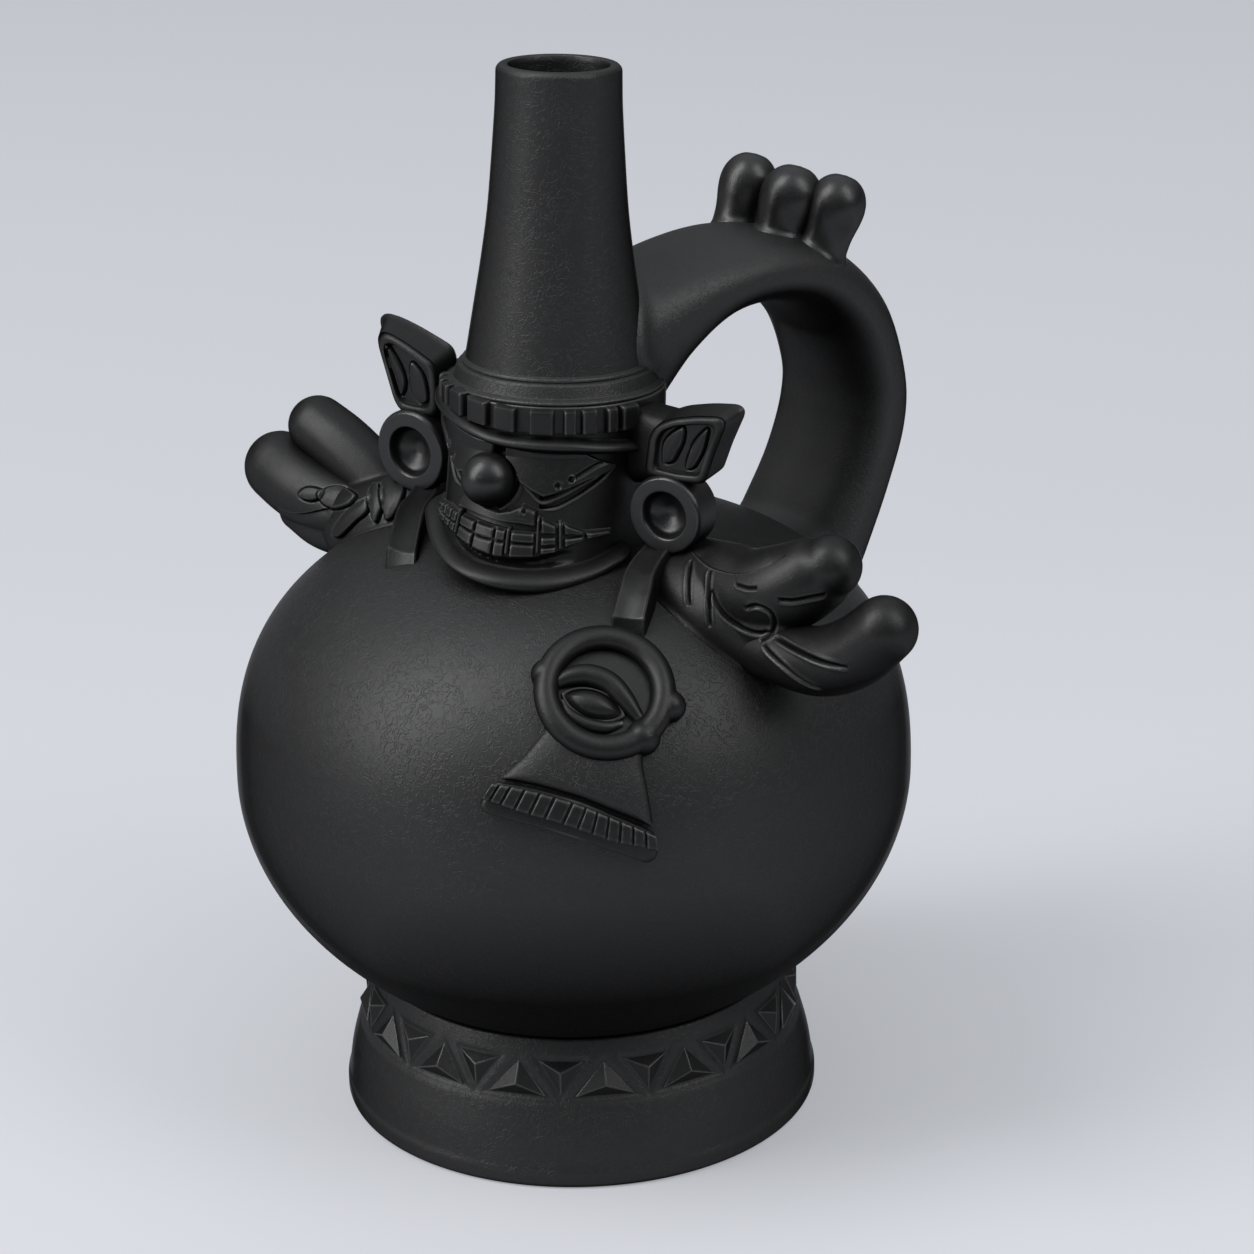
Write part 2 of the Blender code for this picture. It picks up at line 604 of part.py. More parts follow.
    upper = lobe("wing_upper_" + word, UPPER_LOBE, UPPER_RADII, 0.0, None, BURNISHED)
    upper_cut = lobe("wing_upper_cut_" + word, UPPER_LOBE, UPPER_RADII, GAP, CUTTERS)
    lower = lobe("wing_lower_" + word, LOWER_LOBE, LOWER_RADII, 0.0, None, BURNISHED)
    for tool in (root_cut, GLOBE_CUT, spool_cut):
        boolean(upper, tool)
    for tool in (root_cut, GLOBE_CUT, upper_cut):
        boolean(lower, tool)

# Loop handle, lofted in its own upright plane: distance from the axis, height, half width, half thickness.
HANDLE = Matrix.Rotation(-HANDLE_TURN, 4, "Z")
knots = ((8.0, 177.0, 17.5, 11.5), (21.0, 182.6, 17.5, 9.2), (35.0, 187.0, 18.0, 6.9),
         (50.0, 187.6, 18.5, 6.9), (63.5, 182.8, 18.5, 7.1), (74.5, 172.0, 18.5, 7.6),
         (80.4, 158.0, 18.5, 8.1), (80.4, 147.0, 18.5, 8.2), (76.2, 134.0, 18.5, 8.5),
         (69.5, 121.5, 19.0, 9.2), (62.5, 110.0, 19.5, 10.2), (58.0, 102.0, 20.0, 11.0))
path = smooth_row(knots, 2)


def handle_rings(grow):
    rings = []
    for i, (r, z, wide, thick) in enumerate(path):
        before = path[max(0, i - 1)]
        after = path[min(len(path) - 1, i + 1)]
        way = Vector((after[0] - before[0], after[1] - before[1])).normalized()
        ring = []
        for k in range(16):
            a = 2.0 * math.pi * k / 16
            c = math.cos(a)
            s = math.sin(a)
            across = math.copysign(abs(c) ** (2.0 / HANDLE_POWER), c) * (wide + grow)
            out = math.copysign(abs(s) ** (2.0 / HANDLE_POWER), s) * (thick + grow)
            ring.append((across, r - way.y * out, z + way.x * out))
        rings.append(ring)
    return rings


handle = loft("handle", handle_rings(0.0), HANDLE, HANDLED)
for tool in (NECK_CUT, BAND_CUT, HEAD_CUT, GLOBE_CUT):
    boolean(handle, tool)
HANDLE_CUT = loft("handle_cut", handle_rings(GAP), HANDLE, None, CUTTERS)

bulb = [(0.0, 17.4), (3.8, 16.6), (6.2, 14.4), (KNOB_RADIUS, 11.4), (6.5, 8.0), (5.6, 4.8), (5.4, 2.2),
        (6.0, -1.0), (6.0, -6.0), (0.0, -6.0)]
KNOB_ROW = (("left", -12.8, 61.6, 190.6, 0.89, -5.0), ("centre", 0.6, 63.4, 189.5, 1.0, 0.0),
            ("right", 14.4, 66.4, 188.2, 0.92, 5.0))
for word, across, r, z, size, roll in KNOB_ROW:
    spot = HANDLE @ at(across, r, z) @ Matrix.Rotation(KNOB_LEAN, 4, "X")
    spot = spot @ Matrix.Rotation(math.radians(roll), 4, "Y")
    knob = turned("handle_knob_" + word, [(size * a, b) for a, b in bulb], 14, spot, BURNISHED)
    boolean(knob, HANDLE_CUT)

# Medallion on the shoulder: a ring with an eye, and a bell below it.
SPOT = on_globe(MEDALLION_AZ, MEDALLION_Z, MEDALLION_ROLL)
cord = [(MEDALLION_RADIUS + MEDALLION_CORD * math.sin(a), 1.3 + MEDALLION_CORD * math.cos(a))
        for a in (2.0 * math.pi * k / 8 for k in range(8))]
ring = turned("medallion_ring", cord, 24, SPOT, CARVED)


def lugs(name, grow):
    """The three lugs on the medallion's rim."""
    shape = bmesh.new()
    for deg in (178.0, -5.0, -50.0):
        a = math.radians(deg)
        spot = at(13.6 * math.cos(a), 13.6 * math.sin(a), 0.6) @ Matrix.Rotation(a, 4, "Z")
        size = Matrix.Diagonal((2.9 + grow, 2.7 + grow, 2.4 + grow, 1.0))
        bmesh.ops.create_icosphere(shape, subdivisions=1, radius=MM, matrix=spot @ size)
    mesh = bpy.data.meshes.new(name)
    shape.to_mesh(mesh)
    shape.free()
    return place(mesh, name, SPOT, None, CUTTERS)


boolean(ring, lugs("medallion_lugs", 0.0), "UNION")
boolean(ring, GLOBE_CUT)
disc_radius = MEDALLION_RADIUS - MEDALLION_CORD - GAP
disc = turned("medallion_disc", [(0.0, 1.0), (6.0, 0.9), (disc_radius, 0.2), (disc_radius, -4.0),
                                 (0.0, -4.0)], 28, SPOT, CARVED)
boolean(disc, GLOBE_CUT)
DISC_CUT = turned("disc_cut", [(0.0, 1.0 + GAP), (6.0, 0.9 + GAP), (disc_radius + 4.0, 0.2 + GAP),
                               (disc_radius + 4.0, -6.0), (0.0, -6.0)], 28, SPOT, None, CUTTERS)
brow_points = [(-7.9, -0.6, 1.6), (-6.4, 0.9, 2.1), (-3.6, 2.1, 2.3), (0.4, 1.3, 2.4), (3.8, -0.6, 2.2),
               (6.6, -2.9, 1.6)]
lid_sizes = [1.0 + 0.9 * math.sin(math.pi * i / 10) for i in range(11)]
lid = tube("medallion_lid", smooth_row(brow_points, 2), lid_sizes, 3, SPOT, CARVED)
boolean(lid, DISC_CUT)
eye_shape = [(-5.2, 0.2), (-2.6, 1.4), (0.0, 1.7), (2.6, 1.2), (4.6, -0.4), (2.6, -1.8), (0.0, -2.3),
             (-2.6, -1.6)]
eye_at = SPOT @ at(-2.0, -3.6, 1.4) @ Matrix.Rotation(math.radians(-9.0), 4, "Z")
eye = outline("medallion_eye", [eye_shape], 2.4, eye_at, BURNISHED)
boolean(eye, DISC_CUT)

BELL = ((-9.7, -11.4), (0.0, -15.0), (9.6, -11.4), (10.2, -13.0), (13.0, -18.3), (15.0, -23.4),
        (6.3, -22.6), (-0.5, -21.7), (-10.0, -20.9), (-17.8, -20.6), (-13.9, -15.9))
HEM = ((-18.4, -21.3), (-10.0, -21.6), (-0.5, -22.4), (6.3, -23.3), (15.4, -24.2), (16.9, -27.8),
       (15.1, -30.0), (7.0, -29.9), (-2.3, -29.3), (-12.0, -28.4), (-19.6, -27.4), (-20.9, -25.9))
RIBS = 12
SHELL = globe_tool("bell_shell", BELL_RELIEF)
HEM_SHELL = globe_tool("hem_shell", BELL_RELIEF + 0.9)
ring_reach = MEDALLION_RADIUS + MEDALLION_CORD + GAP
RING_CUT = turned("ring_cut", [(0.0, 6.0), (ring_reach, 6.0), (ring_reach, -6.0), (0.0, -6.0)], 32, SPOT,
                  None, CUTTERS)
LUG_CUT = lugs("lug_cut", GAP + 0.1)
bell = outline("medallion_bell", [list(BELL)], 26.0, SPOT, CARVED)
hem = outline("medallion_hem", [list(HEM)], 34.0, SPOT, CARVED)
grooves = bmesh.new()
for i in range(RIBS + 1):
    share = i / RIBS
    spot = SPOT @ at(-18.6 + 34.4 * share, -24.9 - 1.9 * share, -2.0 - 6.0 * (share - 0.42) ** 2 * 4.0)
    spot = spot @ Matrix.Rotation(math.radians(-4.0), 4, "Z")
    bmesh.ops.create_cube(grooves, size=MM, matrix=spot @ Matrix.Diagonal((1.0, 3.6, 8.0, 1.0)))
groove_mesh = bpy.data.meshes.new("hem_grooves")
grooves.to_mesh(groove_mesh)
grooves.free()
GROOVES = place(groove_mesh, "hem_grooves", None, None, CUTTERS)
HEM_FLOOR = globe_tool("hem_floor", 1.6)
boolean(GROOVES, HEM_FLOOR)
boolean(bell, SHELL, "INTERSECT")
boolean(hem, HEM_SHELL, "INTERSECT")
boolean(bell, GLOBE_CUT)
boolean(hem, GLOBE_CUT)
boolean(hem, GROOVES)
boolean(bell, RING_CUT)
boolean(bell, LUG_CUT)

# Shade the round faces smooth and keep the edges crisp.
bpy.context.view_layer.update()
graph = bpy.context.evaluated_depsgraph_get()
for piece in [made for made in PARTS.objects if made.type == "MESH"]:
    finished = bpy.data.meshes.new_from_object(piece.evaluated_get(graph))
    finished.shade_smooth()
    finished.set_sharp_from_angle(angle=SHARP_EDGE)
    piece.modifiers.clear()
    piece.data = finished
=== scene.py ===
# %% [markdown]
# # A black clay bottle with a mask, wings and a loop handle
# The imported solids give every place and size. This lesson dresses them: each clay piece is made again
# with a fine skin, soft edges and carving, and then gets a burnished black finish. All shapes are
# worked out in millimetres round the bottle's turned axis and turned into metres at the end.

# %% Frame, units and axis
import math

import bmesh
import bpy
import numpy as np
from mathutils import Matrix, Quaternion, Vector
from mathutils.bvhtree import BVHTree


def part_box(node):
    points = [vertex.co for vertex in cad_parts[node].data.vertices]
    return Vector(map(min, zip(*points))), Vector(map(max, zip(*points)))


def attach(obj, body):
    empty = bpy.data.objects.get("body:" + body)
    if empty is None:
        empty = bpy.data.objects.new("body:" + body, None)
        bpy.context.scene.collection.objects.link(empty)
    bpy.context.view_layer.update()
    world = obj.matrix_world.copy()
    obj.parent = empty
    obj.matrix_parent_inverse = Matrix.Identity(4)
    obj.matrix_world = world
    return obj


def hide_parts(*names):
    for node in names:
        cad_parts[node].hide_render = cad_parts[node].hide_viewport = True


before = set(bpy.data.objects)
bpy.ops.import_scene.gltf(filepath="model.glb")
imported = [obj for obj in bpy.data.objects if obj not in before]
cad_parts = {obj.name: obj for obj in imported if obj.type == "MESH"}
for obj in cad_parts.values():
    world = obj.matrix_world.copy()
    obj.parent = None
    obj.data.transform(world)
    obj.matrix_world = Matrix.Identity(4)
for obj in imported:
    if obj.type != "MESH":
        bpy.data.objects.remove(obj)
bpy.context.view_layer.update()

MM = 0.001


def node_box(node):
    """Lowest and highest corner of a solid in millimetres, measured from the turned axis."""
    low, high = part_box(node)
    return (np.array(low) - AXIS) / MM, (np.array(high) - AXIS) / MM


globe_low, globe_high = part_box("vessel_body")
AXIS = 0.5 * (np.array(globe_low) + np.array(globe_high)) * (1.0, 1.0, 0.0)
print("turned axis at", AXIS.round(4))

# %% [markdown]
# ## Camera, floor and light
# The camera stands a little above the mouth and to the right of the mask, with a long lens. The floor
# is one pale plane that fills the view. A large soft lamp high on the left does most of the work, and a
# weaker one on the right opens up the far side. Black clay shows its form only through broad
# reflections, so the lamps are big and few.

# %% Camera
PHOTO_PIXELS = 1254.0
FOCAL_PIXELS = 3451.19
CAMERA_SPOT = (0.4743, -0.5521, 0.3873)
CAMERA_AIM = (-0.6007, 0.7159, -0.3559)
CAMERA_ROLL = math.radians(-1.029)

camera = bpy.data.objects.new("camera", bpy.data.cameras.new("camera"))
camera.data.sensor_width = 36.0
camera.data.lens = camera.data.sensor_width * FOCAL_PIXELS / PHOTO_PIXELS
camera.location = CAMERA_SPOT
camera.rotation_mode = "QUATERNION"
aim = Vector(CAMERA_AIM).to_track_quat("-Z", "Y")
camera.rotation_quaternion = aim @ Quaternion((0.0, 0.0, 1.0), CAMERA_ROLL)
bpy.context.scene.collection.objects.link(camera)
bpy.context.scene.camera = camera
bpy.context.scene.view_settings.view_transform = "Standard"
print("lens:", round(camera.data.lens, 2), "mm")


# %% Node helper, floor and lamps
def node(tree, kind, inputs=None, **settings):
    """Add a node, set its options, and fill its sockets with values or links."""
    made = tree.nodes.new(kind)
    for key, value in settings.items():
        setattr(made, key, value)
    for key, value in (inputs or {}).items():
        if isinstance(value, bpy.types.NodeSocket):
            tree.links.new(value, made.inputs[key])
        else:
            made.inputs[key].default_value = value
    return made


def math_node(tree, operation, a, b=0.0, clamp=False):
    return node(tree, "ShaderNodeMath", {0: a, 1: b}, operation=operation, use_clamp=clamp).outputs[0]


def mix_node(tree, share, a, b):
    return node(tree, "ShaderNodeMix", {0: share, 6: a, 7: b}, data_type="RGBA").outputs[2]


def noise_node(tree, place, scale, detail, **more):
    inputs = {"Vector": place, "Scale": scale, "Detail": detail, **more}
    return node(tree, "ShaderNodeTexNoise", inputs).outputs[0]


def map_range(tree, value, given=(0.0, 1.0), wanted=(0.0, 1.0)):
    """Carry a value from one range to another and hold it at both ends."""
    return node(tree, "ShaderNodeMapRange", {
        "Value": value, "From Min": given[0], "From Max": given[1],
        "To Min": wanted[0], "To Max": wanted[1]}).outputs[0]


FLOOR_SIZE = 12.0
FLOOR_TONE = (0.352, 0.359, 0.380, 1.0)
FLOOR_BOUNCE = (0.2, 0.2, 0.21, 1.0)
FLOOR_GLOW = (0.585, 0.597, 0.632, 1.0)
FLOOR_FRONT = (0.6516, -0.7585, 0.0)   # along the floor towards the camera
FLOOR_REACH = (-0.38, 0.2)             # from here to here, towards the camera, the floor's painted glow grows: painted light
GLOW_LEVEL = (0.36, 0.49)
WORLD_TONE = (0.93, 0.96, 1.0, 1.0)
WORLD_LEVEL = (0.02, 1.0)              # strength at the horizon and overhead
WORLD_CURVE = 1.6


def floor_material():
    """Pale where it is seen, also in the clay's sheen, and darker where it only throws light back. Where it
    is seen it also glows: painted light that lifts the object's shadow and grows towards the camera.
    """
    mat = bpy.data.materials.new("studio_floor")
    mat.use_nodes = True
    tree = mat.node_tree
    shader = tree.nodes["Principled BSDF"]
    path = node(tree, "ShaderNodeLightPath").outputs
    shown = math_node(tree, "ADD", path["Is Camera Ray"], path["Is Glossy Ray"])
    shown = math_node(tree, "ADD", shown, path["Is Transmission Ray"], True)
    tree.links.new(mix_node(tree, shown, FLOOR_BOUNCE, FLOOR_TONE), shader.inputs["Base Color"])
    place = node(tree, "ShaderNodeTexCoord").outputs["Object"]
    along = node(tree, "ShaderNodeVectorMath", {0: place, 1: FLOOR_FRONT}, operation="DOT_PRODUCT")
    # Painted light: the floor glows where it is seen, more towards the camera, which also lifts the
    # object's shadow on it.
    glow = map_range(tree, along.outputs["Value"], FLOOR_REACH, GLOW_LEVEL)
    tree.links.new(math_node(tree, "MULTIPLY", glow, shown), shader.inputs["Emission Strength"])
    shader.inputs["Emission Color"].default_value = FLOOR_GLOW
    shader.inputs["Roughness"].default_value = 0.85
    shader.inputs["Specular IOR Level"].default_value = 0.1
    return mat


floor_mesh = bpy.data.meshes.new("floor")
half = FLOOR_SIZE / 2
floor_corners = [(-half, -half, 0), (half, -half, 0), (half, half, 0), (-half, half, 0)]
floor_mesh.from_pydata(floor_corners, [], [(0, 1, 2, 3)])
floor_mesh.materials.append(floor_material())
floor = bpy.data.objects.new("floor", floor_mesh)
bpy.context.scene.collection.objects.link(floor)

world = bpy.data.worlds.new("studio")
world.use_nodes = True
sky = world.node_tree
sky.nodes["Background"].inputs["Color"].default_value = WORLD_TONE
way_up = node(sky, "ShaderNodeTexCoord").outputs["Generated"]
rise = node(sky, "ShaderNodeSeparateXYZ", {0: way_up}).outputs["Z"]
rise = math_node(sky, "POWER", math_node(sky, "MAXIMUM", rise), WORLD_CURVE)
sky.links.new(map_range(sky, rise, wanted=WORLD_LEVEL), sky.nodes["Background"].inputs["Strength"])
bpy.context.scene.world = world

LAMPS = (("key", (-1.05, -1.72, 1.85), (1.2, 3.2), 71.0), ("fill", (1.96, 0.28, 2.0), (1.2, 2.2), 26.0))
LAMP_AIM = Vector((0.0, 0.0, 0.11))
for name, spot, size, power in LAMPS:
    lamp = bpy.data.objects.new("lamp_" + name, bpy.data.lights.new("lamp_" + name, "AREA"))
    lamp.data.shape = "RECTANGLE"
    lamp.data.size, lamp.data.size_y = size
    lamp.data.energy = power
    lamp.location = spot
    lamp.rotation_euler = (LAMP_AIM - Vector(spot)).to_track_quat("-Z", "Y").to_euler()
    bpy.context.scene.collection.objects.link(lamp)
print("lamps:", ", ".join(row[0] for row in LAMPS))

# %% [markdown]
# ## Black clay
# The clay is fired black and rubbed with a stone. Rubbing leaves short curly strokes that catch the
# light. Edges and strokes are also painted a little paler, a painted highlight, and hollows are painted
# darker, a painted shade, and shine less. The strokes are thin contour lines of a noise field. Edges and
# hollows come from each piece's own curvature, which is stored on its points as two attributes when the
# piece is made.


# %% Node groups for the clay
def new_group(name, inputs, outputs):
    tree = bpy.data.node_groups.new(name, "ShaderNodeTree")
    for label, kind, value in inputs:
        socket = tree.interface.new_socket(label, in_out="INPUT", socket_type=kind)
        if value is not None:
            socket.default_value = value
    for label, kind in outputs:
        tree.interface.new_socket(label, in_out="OUTPUT", socket_type=kind)
    return tree, tree.nodes.new("NodeGroupInput").outputs, tree.nodes.new("NodeGroupOutput").inputs


STROKE_PATCHES = 0.3          # scale of the patches that hold strokes, against the strokes' own
GRAIN_SCALE = 3.4
STROKE_SHARE = 0.6            # the rest of the height is grain
CLOUD_SCALE = 26.0
FINE_SCALE = 340.0
STROKE_HIGHLIGHT = 0.04           # how much painted highlight a stroke puts on the clay
EDGE_GLOSS = 0.2              # roughness that rubbing takes off an edge
HOLLOW_ROUGH = 0.15


def stroke_group():
    """Short curly rubbing strokes over a fine grain, as one height."""
    tree, given, out = new_group(
        "rubbing_strokes",
        (("Vector", "NodeSocketVector", None), ("Scale", "NodeSocketFloat", 420.0),
         ("Sharpness", "NodeSocketFloat", 16.0)),
        (("Height", "NodeSocketFloat"), ("Strokes", "NodeSocketFloat")))
    place = given["Vector"]
    field = noise_node(tree, place, given["Scale"], 0.6, Distortion=1.1)
    ridge = math_node(tree, "ABSOLUTE", math_node(tree, "SUBTRACT", field, 0.5))
    line = math_node(tree, "SUBTRACT", 1.0, math_node(tree, "MULTIPLY", ridge, given["Sharpness"]), True)
    patch = noise_node(tree, place, math_node(tree, "MULTIPLY", given["Scale"], STROKE_PATCHES), 1.0)
    patch = math_node(tree, "MULTIPLY", math_node(tree, "SUBTRACT", patch, 0.12), 2.0, True)
    grain = noise_node(tree, place, math_node(tree, "MULTIPLY", given["Scale"], GRAIN_SCALE), 2.0)
    strokes = math_node(tree, "MULTIPLY", line, patch)
    height = math_node(tree, "ADD", math_node(tree, "MULTIPLY", strokes, STROKE_SHARE),
                       math_node(tree, "MULTIPLY", grain, 1.0 - STROKE_SHARE))
    tree.links.new(height, out["Height"])
    tree.links.new(strokes, out["Strokes"])
    return tree


def tone_group():
    """Colour and roughness: cloudy black, edges and strokes painted paler as highlights, and hollows
    painted darker as shade.
    """
    tree, given, out = new_group(
        "clay_tone",
        (("Vector", "NodeSocketVector", None), ("Edge", "NodeSocketFloat", 0.0),
         ("Hollow", "NodeSocketFloat", 0.0), ("Deep", "NodeSocketColor", (0.012, 0.012, 0.012, 1.0)),
         ("Pale", "NodeSocketColor", (0.03, 0.03, 0.03, 1.0)),
         # The third colour is the painted highlight that edges and strokes are paled towards.
         ("Rubbed", "NodeSocketColor", (0.1, 0.1, 0.1, 1.0)), ("Strokes", "NodeSocketFloat", 0.0),
         ("Gloss", "NodeSocketFloat", 0.42)),
        (("Color", "NodeSocketColor"), ("Roughness", "NodeSocketFloat")))
    cloud = noise_node(tree, given["Vector"], CLOUD_SCALE, 5.0, Roughness=0.62)
    fine = noise_node(tree, given["Vector"], FINE_SCALE, 2.0)
    share = math_node(tree, "ADD", math_node(tree, "MULTIPLY", cloud, 0.7),
                      math_node(tree, "MULTIPLY", fine, 0.3))
    share = math_node(tree, "MULTIPLY", math_node(tree, "SUBTRACT", share, 0.33), 3.0, True)
    clay = mix_node(tree, share, given["Deep"], given["Pale"])
    # Painted highlight: convex edges are painted paler, towards a grey, in place of the glints that catch
    # on them.
    edge_highlight = math_node(tree, "MULTIPLY", given["Edge"], math_node(tree, "ADD", fine, 0.35), True)
    edge_highlight = math_node(tree, "MULTIPLY", edge_highlight, 0.6)
    # Painted highlight: the strokes are painted paler too, so that their glint shows outside the
    # highlights.
    stroke_glint = math_node(tree, "MULTIPLY", given["Strokes"], STROKE_HIGHLIGHT)
    highlighted = mix_node(tree, math_node(tree, "ADD", edge_highlight, stroke_glint, True), clay, given["Rubbed"])
    # Painted shade: hollows are painted towards the deep tone, where shade gathers in creases.
    hollow_shade = math_node(tree, "MULTIPLY", given["Hollow"], 0.7)
    tree.links.new(mix_node(tree, hollow_shade, highlighted, given["Deep"]), out["Color"])
    cloudy = math_node(tree, "MULTIPLY", math_node(tree, "SUBTRACT", cloud, 0.5), 0.1)
    rough = math_node(tree, "ADD", given["Gloss"], cloudy)
    rough = math_node(tree, "SUBTRACT", rough, math_node(tree, "MULTIPLY", given["Edge"], EDGE_GLOSS))
    rough = math_node(tree, "ADD", rough, math_node(tree, "MULTIPLY", given["Hollow"], HOLLOW_ROUGH))
    tree.links.new(rough, out["Roughness"])
    return tree


STROKES = stroke_group()
TONE = tone_group()
print("groups:", STROKES.name, TONE.name)

# %% [markdown]
# One recipe makes all four finishes. Clay rubbed with the stone shines less where it is seen at a slant and
# on undersides that the stone hardly reaches, so Layer Weight and the normal's upward part lower the
# specular level there.

# %% Finishes
DULL_SHINE = 0.03             # what is left of the shine on dull clay
DULL_ROUGH = 0.25             # added roughness of dull clay
RIM_DULL = (0.15, 0.75)       # slant at which dulling towards the rim starts and is full
RIM_SHINE = (0.82, 1.0)       # slant from which the outermost rim shines again
TOP_SHINE = (0.25, 0.8)       # upward part of the normal from which a slant dulls less, and not at all
CARVED_SHINE = (0.7, 1.2)     # the same on small carved forms
UNDER_DULL = (0.05, -0.6)     # upward part of the normal at which undersides start to dull and are dull


def clay_finish(name, deep, pale, gloss, shine, stroke_scale, stroke_depth, top_shine=TOP_SHINE):
    """A clay material with its two tones, roughness, specular level and rubbing strokes."""
    mat = bpy.data.materials.new(name)
    mat.use_nodes = True
    tree = mat.node_tree
    shader = tree.nodes["Principled BSDF"]
    place = node(tree, "ShaderNodeTexCoord").outputs["Object"]
    edge = node(tree, "ShaderNodeAttribute", attribute_name="edge").outputs["Fac"]
    hollow = node(tree, "ShaderNodeAttribute", attribute_name="hollow").outputs["Fac"]
    tone = node(tree, "ShaderNodeGroup", node_tree=TONE)
    for key, value in (("Vector", place), ("Edge", edge), ("Hollow", hollow)):
        tree.links.new(value, tone.inputs[key])
    tone.inputs["Deep"].default_value = (deep, deep * 0.985, deep, 1.0)
    tone.inputs["Pale"].default_value = (pale, pale * 0.985, pale * 1.01, 1.0)
    tone.inputs["Gloss"].default_value = gloss
    tree.links.new(tone.outputs["Color"], shader.inputs["Base Color"])
    slant = node(tree, "ShaderNodeLayerWeight", {"Blend": 0.5}).outputs["Facing"]
    normal = node(tree, "ShaderNodeNewGeometry").outputs["Normal"]
    upward = node(tree, "ShaderNodeSeparateXYZ", {0: normal}).outputs["Z"]
    rim = map_range(tree, slant, RIM_DULL)
    rim = math_node(tree, "MULTIPLY", rim, map_range(tree, slant, RIM_SHINE[::-1]))
    rim = math_node(tree, "MULTIPLY", rim, map_range(tree, upward, top_shine[::-1]))
    dull = math_node(tree, "MAXIMUM", rim, map_range(tree, upward, UNDER_DULL))
    dull = math_node(tree, "MAXIMUM", dull, hollow)
    more = math_node(tree, "MULTIPLY", dull, DULL_ROUGH)
    rough = math_node(tree, "ADD", tone.outputs["Roughness"], more, True)
    tree.links.new(rough, shader.inputs["Roughness"])
    level = map_range(tree, dull, wanted=(shine, DULL_SHINE))
    shader.inputs["Specular IOR Level"].default_value = shine
    tree.links.new(level, shader.inputs["Specular IOR Level"])
    strokes = node(tree, "ShaderNodeGroup", node_tree=STROKES)
    tree.links.new(place, strokes.inputs["Vector"])
    strokes.inputs["Scale"].default_value = stroke_scale
    tree.links.new(strokes.outputs["Strokes"], tone.inputs["Strokes"])
    bump = node(tree, "ShaderNodeBump", {
        "Height": strokes.outputs["Height"], "Distance": stroke_depth * MM, "Strength": 1.0})
    tree.links.new(bump.outputs["Normal"], shader.inputs["Normal"])
    return mat


# Each row: deep tone, pale tone, roughness, specular level, scale and depth (mm) of the strokes.
FINISH = {
    "burnished_clay": clay_finish("burnished_black_clay", 0.0034, 0.0062, 0.5, 0.5, 640.0, 0.085),
    "carved_clay": clay_finish("carved_black_clay", 0.0032, 0.0052, 0.42, 0.36, 700.0, 0.025,
                               CARVED_SHINE),
    "handled_clay": clay_finish("handled_black_clay", 0.0034, 0.0062, 0.5, 0.58, 800.0, 0.055),
    "polished": clay_finish("polished_black_clay", 0.0034, 0.0058, 0.34, 0.52, 700.0, 0.02)}
print("finishes:", ", ".join(FINISH))

# %% [markdown]
# ## Making a piece
# Each piece starts as one or more closed bodies, a body being points and faces. Relief functions then
# push its points along their normals, which is how fillets and carving are made. Last, the piece is
# marked with its edges and hollows, and handed to the frame.


# %% Bodies and outlines
def skin_rows(rows, wrap=True, ends=True):
    """A body from a grid of points: rows run along it and columns round it."""
    rows = np.asarray(rows, float)
    n, m = rows.shape[:2]
    i = np.arange(n - 1)[:, None] * m
    j = np.arange(m if wrap else m - 1)[None, :]
    k = (j + 1) % m
    faces = np.stack([i + j, i + k, i + m + k, i + m + j], -1).reshape(-1, 4).tolist()
    if ends:
        faces.append(list(range(m))[::-1])
        faces.append([(n - 1) * m + c for c in range(m)])
    return rows.reshape(-1, 3), faces


def join(bodies):
    """Several bodies as one."""
    points = []
    faces = []
    count = 0
    for body_points, body_faces in bodies:
        points.append(np.asarray(body_points, float))
        faces += [[count + corner for corner in face] for face in body_faces]
        count += len(body_points)
    return np.concatenate(points), faces


def unit(rows):
    return rows / np.linalg.norm(rows, axis=1)[:, None]


def line_reach(line):
    """Length of a line up to each of its points."""
    return np.concatenate([[0.0], np.cumsum(np.linalg.norm(np.diff(line, axis=0), axis=1))])


def round_angles(count):
    return np.linspace(0.0, 2.0 * math.pi, count, endpoint=False)


def soft_square(count, power):
    """Points of a square with soft corners, one half wide: a higher power makes it squarer."""
    a = round_angles(count)
    return [np.sign(v) * np.abs(v) ** (2.0 / power) for v in (np.cos(a), np.sin(a))]


def ball_line(radius, count):
    """Profile of a ball, from pole to pole."""
    return [(radius * math.sin(a), radius * math.cos(a)) for a in np.linspace(0.0, math.pi, count)]


def smooth_line(knots, steps):
    """Points on a smooth line through the knots (Catmull-Rom)."""
    knots = np.asarray(knots, float)
    row = np.concatenate([[2 * knots[0] - knots[1]], knots, [2 * knots[-1] - knots[-2]]])
    t = (np.arange(steps) / steps)[:, None]
    made = []
    for a, b, c, d in zip(row, row[1:], row[2:], row[3:]):
        made.append(0.5 * (2 * b + (c - a) * t + (2 * a - 5 * b + 4 * c - d) * t ** 2
                           + (3 * b - a - 3 * c + d) * t ** 3))
    return np.concatenate(made + [knots[-1:]])


def smooth_loop(knots, steps):
    """The same for a closed outline."""
    knots = np.asarray(knots, float)
    around = np.concatenate([knots[-2:], knots, knots[:3]])
    line = smooth_line(around, steps)
    return line[2 * steps:(2 + len(knots)) * steps]


def loop_points(outline, count, corner=None):
    """Evenly spaced points on a closed outline, smooth or with straight sides and rounded corners."""
    if corner is None:
        line = smooth_loop(outline, 12)
    else:
        line = corner_loop(np.asarray(outline, float), corner)
    line = np.concatenate([line, line[:1]])
    reach = line_reach(line)
    t = np.linspace(0.0, reach[-1], count, endpoint=False)
    return np.stack([np.interp(t, reach, line[:, k]) for k in range(line.shape[1])], 1)


